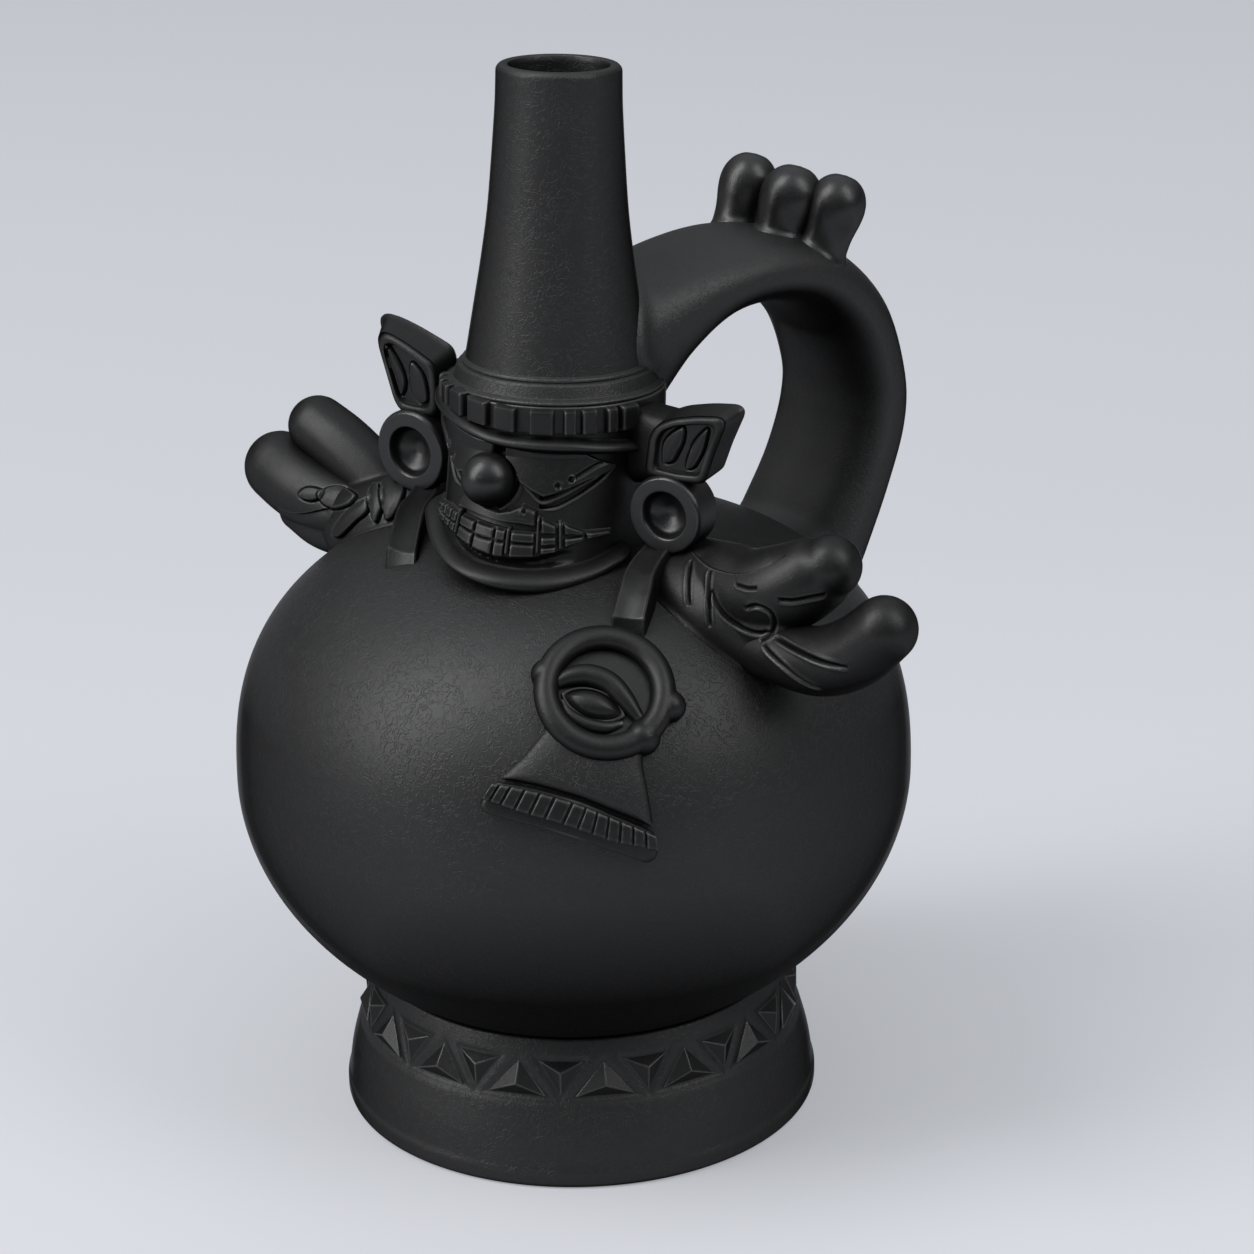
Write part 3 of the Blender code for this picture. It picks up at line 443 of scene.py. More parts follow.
def corner_loop(outline, corner):
    """A closed outline with each corner rounded."""
    made = []
    for before, spot, after in zip(np.roll(outline, 1, 0), outline, np.roll(outline, -1, 0)):
        ways = []
        for other in (before, after):
            gap = np.linalg.norm(other - spot)
            ways.append((other - spot) / gap * min(corner, 0.45 * gap))
        for t in np.linspace(0.0, 1.0, 7):
            made.append(spot + (1 - t) ** 2 * ways[0] + t ** 2 * ways[1])
    return np.array(made)


# %% Carving
def line_distance(points, line):
    """Distance of each point to a line, and the share of the line's length where it is nearest."""
    start = line[:-1]
    way = line[1:] - start
    size = np.maximum((way ** 2).sum(1), 1e-9)
    offset = points[:, None, :] - start[None]
    share = np.clip((offset * way).sum(2) / size, 0.0, 1.0)
    gap = np.linalg.norm(offset - share[..., None] * way, axis=2)
    best = gap.argmin(1)
    rows = np.arange(len(points))
    length = np.concatenate([[0.0], np.cumsum(np.sqrt(size))])
    along = (length[best] + share[rows, best] * np.sqrt(size)[best]) / length[-1]
    return gap[rows, best], along


def near_line(points, line, reach):
    """Indices of the points within the box round a line."""
    return np.nonzero(((points > line.min(0) - reach) & (points < line.max(0) + reach)).all(1))[0]


def fading(along, fade, power):
    """One along most of a line, and nothing at its two ends."""
    return np.clip(np.minimum(along, 1.0 - along) / fade, 0.0, 1.0) ** power


def stroke(knots, width, depth, fade=0.15):
    """Relief along one line: a groove where the depth is negative, a ridge where it is positive."""
    line = smooth_line(knots, 8)

    def lift(points, normals):
        gap, along = line_distance(points, line)
        return depth * fading(along, fade, 0.6) * np.clip(1.0 - (gap / width) ** 2, 0.0, 1.0) ** 2
    lift.line = line
    lift.reach = width + 0.4
    return lift


def seam(knots, width, depth, fade=0.12):
    """Relief of a fine groove with a raised lip on both sides."""
    line = smooth_line(knots, 8)

    def lift(points, normals):
        gap, along = line_distance(points, line)
        lip = 0.14 * np.exp(-((gap - 2.2 * width) / (0.9 * width)) ** 2)
        return depth * fading(along, fade, 0.6) * (np.exp(-(gap / width) ** 2) - lip)
    lift.line = line
    lift.reach = 4.0 * width
    return lift


def cut(knots, width, depth, fade=0.12):
    """Relief of a one-sided cut: steep at the line, running out on its left, or on its right if minus."""
    line = smooth_line(knots, 8)

    def lift(points, normals):
        made = np.zeros(len(points))
        near = near_line(points, line, abs(width))
        if len(near) == 0:
            return made
        gap, along = line_distance(points[near], line)
        reach = line_reach(line)
        at_line = along * reach[-1]
        spot = np.stack([np.interp(at_line, reach, row) for row in line.T], 1)
        way = np.stack([np.interp(at_line, reach, np.gradient(row, reach)) for row in line.T], 1)
        left = np.cross(normals[near], way)
        side = np.sign(((points[near] - spot) * left).sum(1)) * np.sign(width)
        share = np.clip(gap / abs(width), 0.0, 1.0)
        wall = np.clip(gap / 0.3, 0.0, 1.0)
        made[near] = depth * fading(along, fade, 0.7) * (1.0 - share) ** 1.5 * wall * (side > 0.0)
        return made
    lift.line = line
    lift.reach = 1.0
    return lift


def pad(outline, height, slope=0.45):
    """Relief of a raised leaf inside a closed outline of points on the piece."""
    outline = np.asarray(outline, float)
    middle = outline.mean(0)
    axes = np.linalg.svd(outline - middle)[2]
    flat = loop_points((outline - middle) @ axes[:2].T, 80)
    reach = np.linalg.norm(flat, axis=1).max() + 1.0

    def lift(points, normals):
        made = np.zeros(len(points))
        near = np.nonzero(np.linalg.norm(points - middle, axis=1) < reach)[0]
        if len(near) == 0:
            return made
        spot = (points[near] - middle) @ axes[:2].T
        ring = np.concatenate([flat, flat[:1]])
        gap = line_distance(spot, ring)[0]
        inside = np.zeros(len(near), bool)
        for a, b in zip(ring[:-1], ring[1:]):
            crosses = (a[1] > spot[:, 1]) != (b[1] > spot[:, 1])
            x = a[0] + (spot[:, 1] - a[1]) * (b[0] - a[0]) / (b[1] - a[1] if b[1] != a[1] else 1e-9)
            inside ^= crosses & (spot[:, 0] < x)
        share = np.clip(gap / slope, 0.0, 1.0)
        dome = 0.75 + 0.25 * np.clip(gap / (4.0 * slope), 0.0, 1.0)
        rim = -0.45 * height * np.exp(-(gap / 0.3) ** 2)
        made[near] = np.where(inside, height * np.sqrt(share) * dome, rim)
        return made
    ring = loop_points(outline, 80)
    lift.line = np.concatenate([ring, ring[:1]])
    lift.reach = 1.0
    return lift


def pit(centre, radius, depth):
    """Relief of one small round dent with a low rim."""
    def lift(points, normals):
        gap = np.linalg.norm(points - np.asarray(centre), axis=1) / radius
        rim = 0.35 * depth * np.exp(-((gap - 1.15) / 0.22) ** 2)
        return np.where(gap < 1.0, -depth * (1.0 - gap ** 2), 0.0) + rim
    return lift


# %% Luted joints
FILLET_LIP = 0.2


def fillet(distance, radius):
    """Relief that flares a piece out where it meets another surface, as slip does in a luted joint."""
    def lift(points, normals):
        share = np.clip(FILLET_LIP + (1.0 - FILLET_LIP) * distance(points) / radius, FILLET_LIP, 1.0)
        return radius * (1.0 - np.sqrt(1.0 - (1.0 - share) ** 2))
    return lift


def tree_of(body):
    """A search tree of a body whose faces all point outwards."""
    mesh = bpy.data.meshes.new("probe")
    mesh.from_pydata(np.asarray(body[0]).tolist(), [], body[1])
    shape = bmesh.new()
    shape.from_mesh(mesh)
    bmesh.ops.recalc_face_normals(shape, faces=shape.faces)
    tree = BVHTree.FromBMesh(shape)
    shape.free()
    bpy.data.meshes.remove(mesh)
    return tree


def seen(line, tree):
    """Points of a piece under pixels of the 1254-pixel view, so that carving lies on the piece itself."""
    start = (Vector(CAMERA_SPOT) - Vector(AXIS)) / MM
    made = []
    for x, y in line:
        way = Vector((x - PHOTO_PIXELS / 2, PHOTO_PIXELS / 2 - y, -FOCAL_PIXELS))
        way = camera.rotation_quaternion @ way
        spot = tree.ray_cast(start, way.normalized())[0]
        if spot is not None:
            made.append(tuple(spot))
    return made


def distance_to(tree):
    """Signed distance to another piece's skin."""
    def measure(points):
        made = np.empty(len(points))
        for i, p in enumerate(points):
            spot, normal, _, gap = tree.find_nearest(Vector(p))
            made[i] = math.copysign(gap, (Vector(p) - spot).dot(normal))
        return made
    return measure


# %% Tubes
def tube(path, wide, count):
    """A round tube along a path, with a radius at each point."""
    way = unit(np.gradient(path, axis=0))
    row = unit(np.cross((0.0, 1.0, 0.0), way))
    out = np.cross(way, row)
    a = round_angles(count)[None, :, None]
    ring = row[:, None] * np.cos(a) + out[:, None] * np.sin(a)
    return skin_rows(path[:, None] + ring * wide[:, None, None])


def round_end(path, wide):
    """The same path and radii with a round tip added."""
    tip = path[-1] - path[-2]
    tip /= np.linalg.norm(tip)
    a = np.radians((14.0, 28.0, 42.0, 55.0, 67.0, 77.0, 85.0))
    end = path[-1] + tip * (wide[-1] * np.sin(a))[:, None]
    return np.concatenate([path, end]), np.concatenate([wide, wide[-1] * np.cos(a)])


# %% From bodies to a named piece
EDGE_BEND = (0.4, 1.3)      # curvature, per millimetre, at which the edge and hollow marks start and are full: painted highlight, painted shade and gloss


def even_out(values, edges, count, rounds):
    """Average a value over neighbouring points."""
    for _ in range(rounds):
        total = values.copy()
        share = np.ones(count)
        for a, b in ((0, 1), (1, 0)):
            np.add.at(total, edges[:, a], values[edges[:, b]])
            np.add.at(share, edges[:, a], 1.0)
        values = total / share
    return values


def point_rows(mesh, label):
    """Places or normals of all points of a mesh."""
    values = np.empty(len(mesh.vertices) * 3)
    mesh.vertices.foreach_get(label, values)
    return values.reshape(-1, 3)


def mark_edges(mesh):
    """Store how far each point lies on an edge or in a hollow."""
    count = len(mesh.vertices)
    points = point_rows(mesh, "co") / MM
    normals = point_rows(mesh, "normal")
    edges = np.empty(len(mesh.edges) * 2, int)
    mesh.edges.foreach_get("vertices", edges)
    edges = edges.reshape(-1, 2)
    bend = np.zeros(count)
    share = np.zeros(count)
    for a, b in ((0, 1), (1, 0)):
        way = points[edges[:, b]] - points[edges[:, a]]
        size = np.maximum((way ** 2).sum(1), 0.01)
        np.add.at(bend, edges[:, a], 2.0 * (normals[edges[:, a]] * way).sum(1) / size)
        np.add.at(share, edges[:, a], 1.0)
    bend = even_out(bend / np.maximum(share, 1.0), edges, count, 2)
    low, high = EDGE_BEND
    for label, values in (("edge", -bend), ("hollow", bend)):
        layer = mesh.attributes.new(label, "FLOAT", "POINT")
        share = np.clip((values - low) / (high - low), 0.0, 1.0)
        layer.data.foreach_set("value", share.astype(np.float32))


def clean(mesh):
    """Merge doubled points, drop needle faces and turn all faces outwards."""
    shape = bmesh.new()
    shape.from_mesh(mesh)
    bmesh.ops.remove_doubles(shape, verts=shape.verts, dist=0.00002)
    bmesh.ops.dissolve_degenerate(shape, edges=shape.edges, dist=0.000001)
    bmesh.ops.recalc_face_normals(shape, faces=shape.faces)
    shape.to_mesh(mesh)
    shape.free()


def refine(mesh, strokes):
    """Split the edges near carved lines, so that a line comes out smooth."""
    shape = bmesh.new()
    shape.from_mesh(mesh)
    points = (np.array([v.co for v in shape.verts]) - AXIS) / MM
    near = np.zeros(len(points), bool)
    for lift in strokes:
        close = near_line(points, lift.line, lift.reach)
        if len(close):
            near[close] |= line_distance(points[close], lift.line)[0] < lift.reach
    edges = [e for e in shape.edges if near[e.verts[0].index] and near[e.verts[1].index]]
    bmesh.ops.subdivide_edges(shape, edges=edges, cuts=1, use_grid_fill=True)
    shape.to_mesh(mesh)
    shape.free()


def piece(name, body, slot, nodes=(), relief=(), sharp=45.0, finish=None):
    """Make one named clay piece and hand it to the frame."""
    mesh = bpy.data.meshes.new(name)
    mesh.from_pydata((np.asarray(body[0]) * MM + AXIS).tolist(), [], body[1])
    clean(mesh)
    carved = [lift for lift in relief if hasattr(lift, "line")]
    if carved:
        refine(mesh, carved)
    for lift in relief:
        points = (point_rows(mesh, "co") - AXIS) / MM
        normals = point_rows(mesh, "normal")
        lifted = points + normals * lift(points, normals)[:, None]
        mesh.vertices.foreach_set("co", (lifted * MM + AXIS).ravel())
        mesh.update()
    mesh.shade_smooth()
    mesh.set_sharp_from_angle(angle=math.radians(sharp))
    mark_edges(mesh)
    mesh.materials.append(FINISH[finish or slot])
    made = bpy.data.objects.new(name, mesh)
    bpy.context.scene.collection.objects.link(made)
    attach(made, "root")
    if nodes:
        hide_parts(*nodes)
    mesh.calc_loop_triangles()
    return made


def mesh_body(mesh):
    """Points in millimetres and faces of a finished mesh in metres that has no offset."""
    points = np.array([v.co for v in mesh.vertices]) / MM
    return points, [list(p.vertices) for p in mesh.polygons]


def bake_object(name, mesh, modifiers):
    """Run modifiers on a mesh and return the result as a body."""
    carrier = bpy.data.objects.new(name, mesh)
    bpy.context.scene.collection.objects.link(carrier)
    for kind, settings in modifiers:
        mod = carrier.modifiers.new(kind.lower(), kind)
        for key, value in settings.items():
            if key.startswith("["):
                mod[key[1:-1]] = value
            else:
                setattr(mod, key, value)
    bpy.context.view_layer.update()
    graph = bpy.context.evaluated_depsgraph_get()
    result = bpy.data.meshes.new_from_object(carrier.evaluated_get(graph))
    bpy.data.objects.remove(carrier, do_unlink=True)
    body = mesh_body(result)
    bpy.data.meshes.remove(result)
    return body


def metre_mesh(name, body):
    """A clean mesh in metres from a body in millimetres."""
    mesh = bpy.data.meshes.new(name)
    mesh.from_pydata((np.asarray(body[0]) * MM).tolist(), [], body[1])
    clean(mesh)
    return mesh


def inset(body, area, step, rounds):
    """Put rings of points inside the large faces of a body, so that the painted edge highlight stays at its
    edges.
    """
    mesh = bpy.data.meshes.new("inset")
    mesh.from_pydata(np.asarray(body[0]).tolist(), [], body[1])
    shape = bmesh.new()
    shape.from_mesh(mesh)
    for _ in range(rounds):
        large = [face for face in shape.faces if face.calc_area() > area]
        bmesh.ops.inset_individual(shape, faces=large, thickness=step)
    shape.verts.index_update()
    made = np.array([v.co for v in shape.verts]), [[v.index for v in f.verts] for f in shape.faces]
    shape.free()
    bpy.data.meshes.remove(mesh)
    return made


def fuse(bodies, voxel, rounds):
    """Melt overlapping bodies into one even skin and soften its creases."""
    mesh = metre_mesh("melt", join(bodies))
    return bake_object("melt", mesh, (
        ("REMESH", {"mode": "VOXEL", "voxel_size": voxel * MM, "use_smooth_shade": True}),
        ("SMOOTH", {"factor": 0.5, "iterations": rounds})))


# %% [markdown]
# ## Turned pieces
# The globe, foot, collar and spout are thrown on a wheel, so one rule makes them all: a profile carried
# round the axis. A Geometry Nodes tree bends a grid round the axis, and each row of the grid takes its
# radius and height from one point of the profile. Corners of a profile are rounded first, because the
# light needs an edge with some width to show it.


# %% Tree that turns a profile
def interface(tree, rows):
    for label, way, kind in rows:
        tree.interface.new_socket(label, in_out=way, socket_type=kind)


def finish_tree(tree, clay, finish, out):
    """Make the copies real, give them their finish and hand them out."""
    real = node(tree, "GeometryNodeRealizeInstances", {"Geometry": clay}).outputs[0]
    done = node(tree, "GeometryNodeSetMaterial", {"Geometry": real, "Material": finish}).outputs[0]
    tree.links.new(done, out)


def turning_tree():
    """Bend a grid round the axis and give each of its rows the radius and height of a profile point."""
    tree = bpy.data.node_groups.new("turned_clay", "GeometryNodeTree")
    interface(tree, (("Profile", "INPUT", "NodeSocketGeometry"), ("Steps", "INPUT", "NodeSocketInt"),
                     ("Finish", "INPUT", "NodeSocketMaterial"), ("Clay", "OUTPUT", "NodeSocketGeometry")))
    given = tree.nodes.new("NodeGroupInput").outputs
    out = tree.nodes.new("NodeGroupOutput").inputs
    sizes = node(tree, "GeometryNodeAttributeDomainSize", {"Geometry": given["Profile"]})
    size = sizes.outputs["Point Count"]
    columns = math_node(tree, "ADD", given["Steps"], 1.0)
    grid = node(tree, "GeometryNodeMeshGrid", {
        "Size X": 1.0, "Size Y": 1.0, "Vertices X": columns, "Vertices Y": size})
    place = node(tree, "GeometryNodeInputPosition").outputs[0]
    spot = node(tree, "ShaderNodeSeparateXYZ", {0: place}).outputs
    last = math_node(tree, "SUBTRACT", size, 1.0)
    row = math_node(tree, "MULTIPLY", math_node(tree, "ADD", spot["Y"], 0.5), last)
    row = math_node(tree, "ROUND", row)
    pick = node(tree, "GeometryNodeSampleIndex",
                {"Geometry": given["Profile"], "Index": row, "Value": place},
                data_type="FLOAT_VECTOR", domain="POINT").outputs[0]
    profile = node(tree, "ShaderNodeSeparateXYZ", {0: pick}).outputs
    angle = math_node(tree, "MULTIPLY", math_node(tree, "ADD", spot["X"], 0.5), 2.0 * math.pi)
    x = math_node(tree, "MULTIPLY", profile["X"], math_node(tree, "COSINE", angle))
    y = math_node(tree, "MULTIPLY", profile["X"], math_node(tree, "SINE", angle))
    bent = node(tree, "ShaderNodeCombineXYZ", {"X": x, "Y": y, "Z": profile["Z"]}).outputs[0]
    wall = node(tree, "GeometryNodeSetPosition", {"Geometry": grid.outputs["Mesh"], "Position": bent})
    closed = node(tree, "GeometryNodeMergeByDistance", {"Geometry": wall.outputs[0], "Distance": 0.00001})
    finish_tree(tree, closed.outputs[0], given["Finish"], out["Clay"])
    return tree


TURNING = turning_tree()


def tree_settings(tree, values):
    """Settings of a modifier that runs the tree. Its inputs go by their sockets' identifiers."""
    settings = {"node_group": tree}
    for item in tree.interface.items_tree:
        if item.in_out == "INPUT" and item.name in values:
            settings["[" + item.identifier + "]"] = values[item.name]
    return settings


def turned(profile, steps):
    """A body turned from (radius, height) points."""
    mesh = bpy.data.meshes.new("profile")
    profile = [(r * MM, 0.0, z * MM) for r, z in profile]
    mesh.from_pydata(profile, [(i, i + 1) for i in range(len(profile) - 1)], [])
    settings = tree_settings(TURNING, {"Steps": steps, "Finish": FINISH["burnished_clay"]})
    return bake_object("turned", mesh, (("NODES", settings),))


def rounded(corners, step=1.5):
    """A profile with its corners rounded. Each corner is (radius, height, rounding)."""
    made = []
    for i, (r, z, soft) in enumerate(corners):
        spot = np.array((r, z))
        if soft <= 0.0 or i in (0, len(corners) - 1):
            made.append(spot)
            continue
        before = np.array(corners[i - 1][:2]) - spot
        after = np.array(corners[i + 1][:2]) - spot
        reach = min(soft, 0.48 * np.linalg.norm(before), 0.48 * np.linalg.norm(after))
        a = spot + before / np.linalg.norm(before) * reach
        b = spot + after / np.linalg.norm(after) * reach
        for t in np.linspace(0.0, 1.0, 7):
            made.append((1 - t) ** 2 * a + 2 * t * (1 - t) * spot + t ** 2 * b)
    fine = [made[0]]
    for p in made[1:]:
        parts = max(1, int(np.linalg.norm(p - fine[-1]) / step))
        start = fine[-1]
        fine += [start + (p - start) * k / parts for k in range(1, parts + 1)]
    return [tuple(p) for p in fine]


def moved(body, matrix):
    """A body carried by a matrix whose place is in millimetres."""
    turn = np.array(matrix.to_3x3())
    return body[0] @ turn.T + np.array(matrix.translation), body[1]


def at(x, y, z):
    return Matrix.Translation((x, y, z))


def facing(spot, normal, roll=0.0):
    """A frame at a spot with its Z along the normal and its Y as near to upright as it goes."""
    out = Vector(normal).normalized()
    side = Vector((0.0, 0.0, 1.0)).cross(out).normalized()
    turn = Matrix((side, out.cross(side), out)).transposed().to_4x4()
    return Matrix.Translation(spot) @ turn @ Matrix.Rotation(roll, 4, "Z")


# %% Globe
low, high = node_box("vessel_body")
GLOBE_RADIUS = 0.5 * (high[0] - low[0])
GLOBE_MID = 80.2
GLOBE_RISE = {True: 58.4, False: 60.3}     # height of the upper half, depth of the lower half
GLOBE_POWER = {True: 2.54, False: 1.92}
GLOBE_WALL = 4.5
NECK_OUTER = 17.0
NECK_INNER = 13.0
NECK_TOP = high[2]


def globe_half(grow, upper, start, count):
    """Points of one half of the globe, from a start angle off the pole to the widest ring."""
    a = np.linspace(start, math.pi / 2, count)
    power = 2.0 / GLOBE_POWER[upper]
    r = (GLOBE_RADIUS + grow) * np.sin(a) ** power
    z = (GLOBE_RISE[upper] + grow) * np.maximum(np.cos(a), 0.0) ** power
    return np.stack([r, GLOBE_MID + (z if upper else -z)], 1)


def globe_profile(grow, neck, fine):
    """The globe's line from its neck down to its lowest point."""
    start = math.asin((neck / (GLOBE_RADIUS + grow)) ** (GLOBE_POWER[True] / 2.0))
    upper = globe_half(grow, True, start, fine)
    lower = globe_half(grow, False, 0.0, fine)[::-1]
    return [tuple(p) for p in np.concatenate([upper, lower[1:]])]


def globe_level(points):
    """One on the globe's skin, less inside and more outside."""
    r = np.hypot(points[:, 0], points[:, 1]) / GLOBE_RADIUS
    z = points[:, 2] - GLOBE_MID
    level = {}
    for upper in (True, False):
        power = GLOBE_POWER[upper]
        level[upper] = (r ** power + np.abs(z / GLOBE_RISE[upper]) ** power) ** (1.0 / power)
    return np.where(z > 0.0, level[True], level[False])


def globe_gap(points):
    """Distance above the globe's skin, measured along the line from its middle."""
    level = globe_level(points)
    return np.linalg.norm(points - (0.0, 0.0, GLOBE_MID), axis=1) * (1.0 - 1.0 / level)


globe_line = [(NECK_OUTER, NECK_TOP)] + globe_profile(0.0, NECK_OUTER, 64)
globe_line += globe_profile(-GLOBE_WALL, NECK_INNER, 24)[::-1]
globe_line += [(NECK_INNER, NECK_TOP), (NECK_OUTER, NECK_TOP)]
piece("vessel_body", turned(globe_line, 192), "burnished_clay", ["vessel_body"])

# %% [markdown]
# ## Foot and its frieze
# The foot is a flared ring with a rounded rim. Its frieze is 32 small three-sided pyramids, pressed or
# cut while the clay is leather-hard: wide ones point up and narrower ones hang between them. A second
# tree sets copies of one pyramid round the foot, each leaning with the wall, and each has a shallow
# groove cut round it in the wall.

# %% Foot ring
RIM_RADIUS = 54.7
RIM_HEIGHT = 4.4
SEAT_RADIUS = 47.7
SEAT_Z = 34.0
CREASE_RADIUS = 51.4
CREASE_Z = 19.2
foot_corners = [
    (SEAT_RADIUS - 4.5, 31.8, 0.0), (SEAT_RADIUS - 1.1, SEAT_Z - 1.0, 0.7), (48.3, 28.6, 5.0),
    (CREASE_RADIUS - 0.8, CREASE_Z + 0.5, 0.6), (CREASE_RADIUS - 0.1, CREASE_Z - 0.7, 1.0),
    (53.3, 11.5, 6.0), (RIM_RADIUS - 0.5, RIM_HEIGHT + 0.7, 0.8), (RIM_RADIUS, RIM_HEIGHT - 0.6, 1.2),
    (RIM_RADIUS, 0.9, 0.8), (RIM_RADIUS - 0.9, 0.0, 0.7), (49.0, 0.0, 0.8), (48.2, 0.8, 0.6),
    (45.6, 14.0, 4.0), (43.2, 26.0, 1.0), (SEAT_RADIUS - 4.5, 31.8, 0.0)]
FOOT_STEPS = 640
FRIEZE_COUNT = 16
FRIEZE_RADIUS = 49.3
FRIEZE_Z = 24.3
FRIEZE_LEAN = math.radians(15.5)
UP_TRIANGLE = (13.2, 7.7, -3.6)       # width, height and height of its base below the frieze's middle
DOWN_TRIANGLE = (10.0, 7.9, 4.3)
FRIEZE_TURN = 1.8                     # degrees
FRIEZE_BAND = (18.5, 30.5)            # heights between which the wall is finely divided
FRIEZE_STEP = 0.36
PLAIN_STEP = 2.0
OUTER_WALL = 46.0                     # anything further out is the foot's outer side
GROOVE_DEPTH = 0.3
GROOVE_WIDE = 0.42


def triangle_gap(x, y, triangle):
    """Distance outside a frieze triangle, negative inside."""
    width, height, base = triangle
    way = 1.0 if base < 0.0 else -1.0
    rise = way * (y - base)
    slope = math.hypot(height, width / 2)
    sides = (np.abs(x) * height + (rise - height) * width / 2) / slope
    return np.maximum(sides, -rise)


def frieze_grooves(points, normals):
    """A shallow groove round every pyramid."""
    turn = np.degrees(np.arctan2(points[:, 0], -points[:, 1]))
    pitch = 360.0 / FRIEZE_COUNT
    made = np.zeros(len(points))
    rise = (points[:, 2] - FRIEZE_Z) / math.cos(FRIEZE_LEAN)
    outside = np.hypot(points[:, 0], points[:, 1]) > OUTER_WALL
    for start, triangle in ((0.0, UP_TRIANGLE), (0.5 * pitch, DOWN_TRIANGLE)):
        x = np.radians((turn - FRIEZE_TURN - start + pitch / 2) % pitch - pitch / 2) * FRIEZE_RADIUS
        gap = triangle_gap(x, rise, triangle)
        made -= GROOVE_DEPTH * np.exp(-((gap - 0.3) / GROOVE_WIDE) ** 2) * outside
        made -= GROOVE_DEPTH * np.clip(-gap / 0.4, 0.0, 1.0) * outside
    return made


profile = rounded(foot_corners, 1.6)
dense = [profile[0]]
for spot in profile[1:]:
    inside = FRIEZE_BAND[0] < spot[1] < FRIEZE_BAND[1] and spot[0] > OUTER_WALL
    parts = max(1, int(math.dist(spot, dense[-1]) / (FRIEZE_STEP if inside else PLAIN_STEP)))
    start = np.array(dense[-1])
    dense += [tuple(start + (np.array(spot) - start) * k / parts) for k in range(1, parts + 1)]
piece("foot_ring", turned(dense, FOOT_STEPS), "burnished_clay", ["foot_ring"], [frieze_grooves])


# %% Frieze tree
def frieze_tree():
    """Set copies of one pyramid round the foot, each leaning with the wall."""
    tree = bpy.data.node_groups.new("foot_frieze", "GeometryNodeTree")
    interface(tree, (("Pyramid", "INPUT", "NodeSocketGeometry"), ("Count", "INPUT", "NodeSocketInt"),
                     ("Radius", "INPUT", "NodeSocketFloat"), ("Height", "INPUT", "NodeSocketFloat"),
                     ("Lean", "INPUT", "NodeSocketFloat"), ("Start", "INPUT", "NodeSocketFloat"),
                     ("Finish", "INPUT", "NodeSocketMaterial"), ("Clay", "OUTPUT", "NodeSocketGeometry")))
    given = tree.nodes.new("NodeGroupInput").outputs
    out = tree.nodes.new("NodeGroupOutput").inputs
    index = node(tree, "GeometryNodeInputIndex").outputs[0]
    share = math_node(tree, "DIVIDE", index, given["Count"])
    turn = math_node(tree, "ADD", math_node(tree, "MULTIPLY", share, 2.0 * math.pi), given["Start"])
    x = math_node(tree, "MULTIPLY", math_node(tree, "SINE", turn), given["Radius"])
    back = math_node(tree, "MULTIPLY", math_node(tree, "COSINE", turn), given["Radius"])
    y = math_node(tree, "MULTIPLY", back, -1.0)
    spot = node(tree, "ShaderNodeCombineXYZ", {"X": x, "Y": y, "Z": given["Height"]}).outputs[0]
    points = node(tree, "GeometryNodePoints", {"Count": given["Count"], "Position": spot}).outputs[0]
    tip = math_node(tree, "SUBTRACT", math.pi / 2, given["Lean"])
    euler = node(tree, "ShaderNodeCombineXYZ", {"X": tip, "Z": turn}).outputs[0]
    rotation = node(tree, "FunctionNodeEulerToRotation", {0: euler}).outputs[0]
    set_out = node(tree, "GeometryNodeInstanceOnPoints", {"Points": points, "Instance": given["Pyramid"],
                                                          "Rotation": rotation}).outputs[0]
    finish_tree(tree, set_out, given["Finish"], out["Clay"])
    return tree


FRIEZE = frieze_tree()
PEAK_SHARE = 0.32
PEAK_RELIEF = 1.7
PEAK_BEVEL = 0.14
PYRAMID_ROOT = 1.0


def pyramid(triangle):
    """One three-sided pyramid with softened edges. X runs round the foot, Y up the wall, Z out of it."""
    width, height, base = triangle
    way = 1.0 if base < 0.0 else -1.0
    flat = [(-way * width / 2, base), (way * width / 2, base), (0.0, base + way * height)]
    mesh = bpy.data.meshes.new("pyramid")
    foot = [(x * 1.03, y, -PYRAMID_ROOT) for x, y in flat]
    rim = [(x, y, -0.15) for x, y in flat]
    peak = [(0.0, base + way * height * PEAK_SHARE, PEAK_RELIEF)]
    faces = [(2, 1, 0), (0, 1, 4, 3), (1, 2, 5, 4), (2, 0, 3, 5), (3, 4, 6), (4, 5, 6), (5, 3, 6)]
    mesh.from_pydata([tuple(np.array(p) * MM) for p in foot + rim + peak], [], faces)
    clean(mesh)
    bevel = {"width": PEAK_BEVEL * MM, "segments": 2, "limit_method": "ANGLE",
             "angle_limit": math.radians(15.0)}
    return inset(bake_object("pyramid", mesh, (("BEVEL", bevel),)), 2.0, 0.25, 3)


frieze_parts = []
for start, triangle in ((0.0, UP_TRIANGLE), (math.pi / FRIEZE_COUNT, DOWN_TRIANGLE)):
    settings = tree_settings(FRIEZE, {
        "Count": FRIEZE_COUNT, "Radius": FRIEZE_RADIUS * MM, "Height": FRIEZE_Z * MM, "Lean": FRIEZE_LEAN,
        "Start": start + math.radians(FRIEZE_TURN), "Finish": FINISH["carved_clay"]})
    mesh = metre_mesh("pyramid", pyramid(triangle))
    frieze_parts.append(bake_object("frieze", mesh, (("NODES", settings),)))
piece("foot_frieze", join(frieze_parts), "carved_clay", sharp=30.0)

# %% [markdown]
# ## Collar and spout
# The spout is a long cone with a slight waist and a thick rolled rim. It stands in a collar with two
# fine ridges. Both lean forward with the head, so they are turned upright and then carried by the
# head's frame.

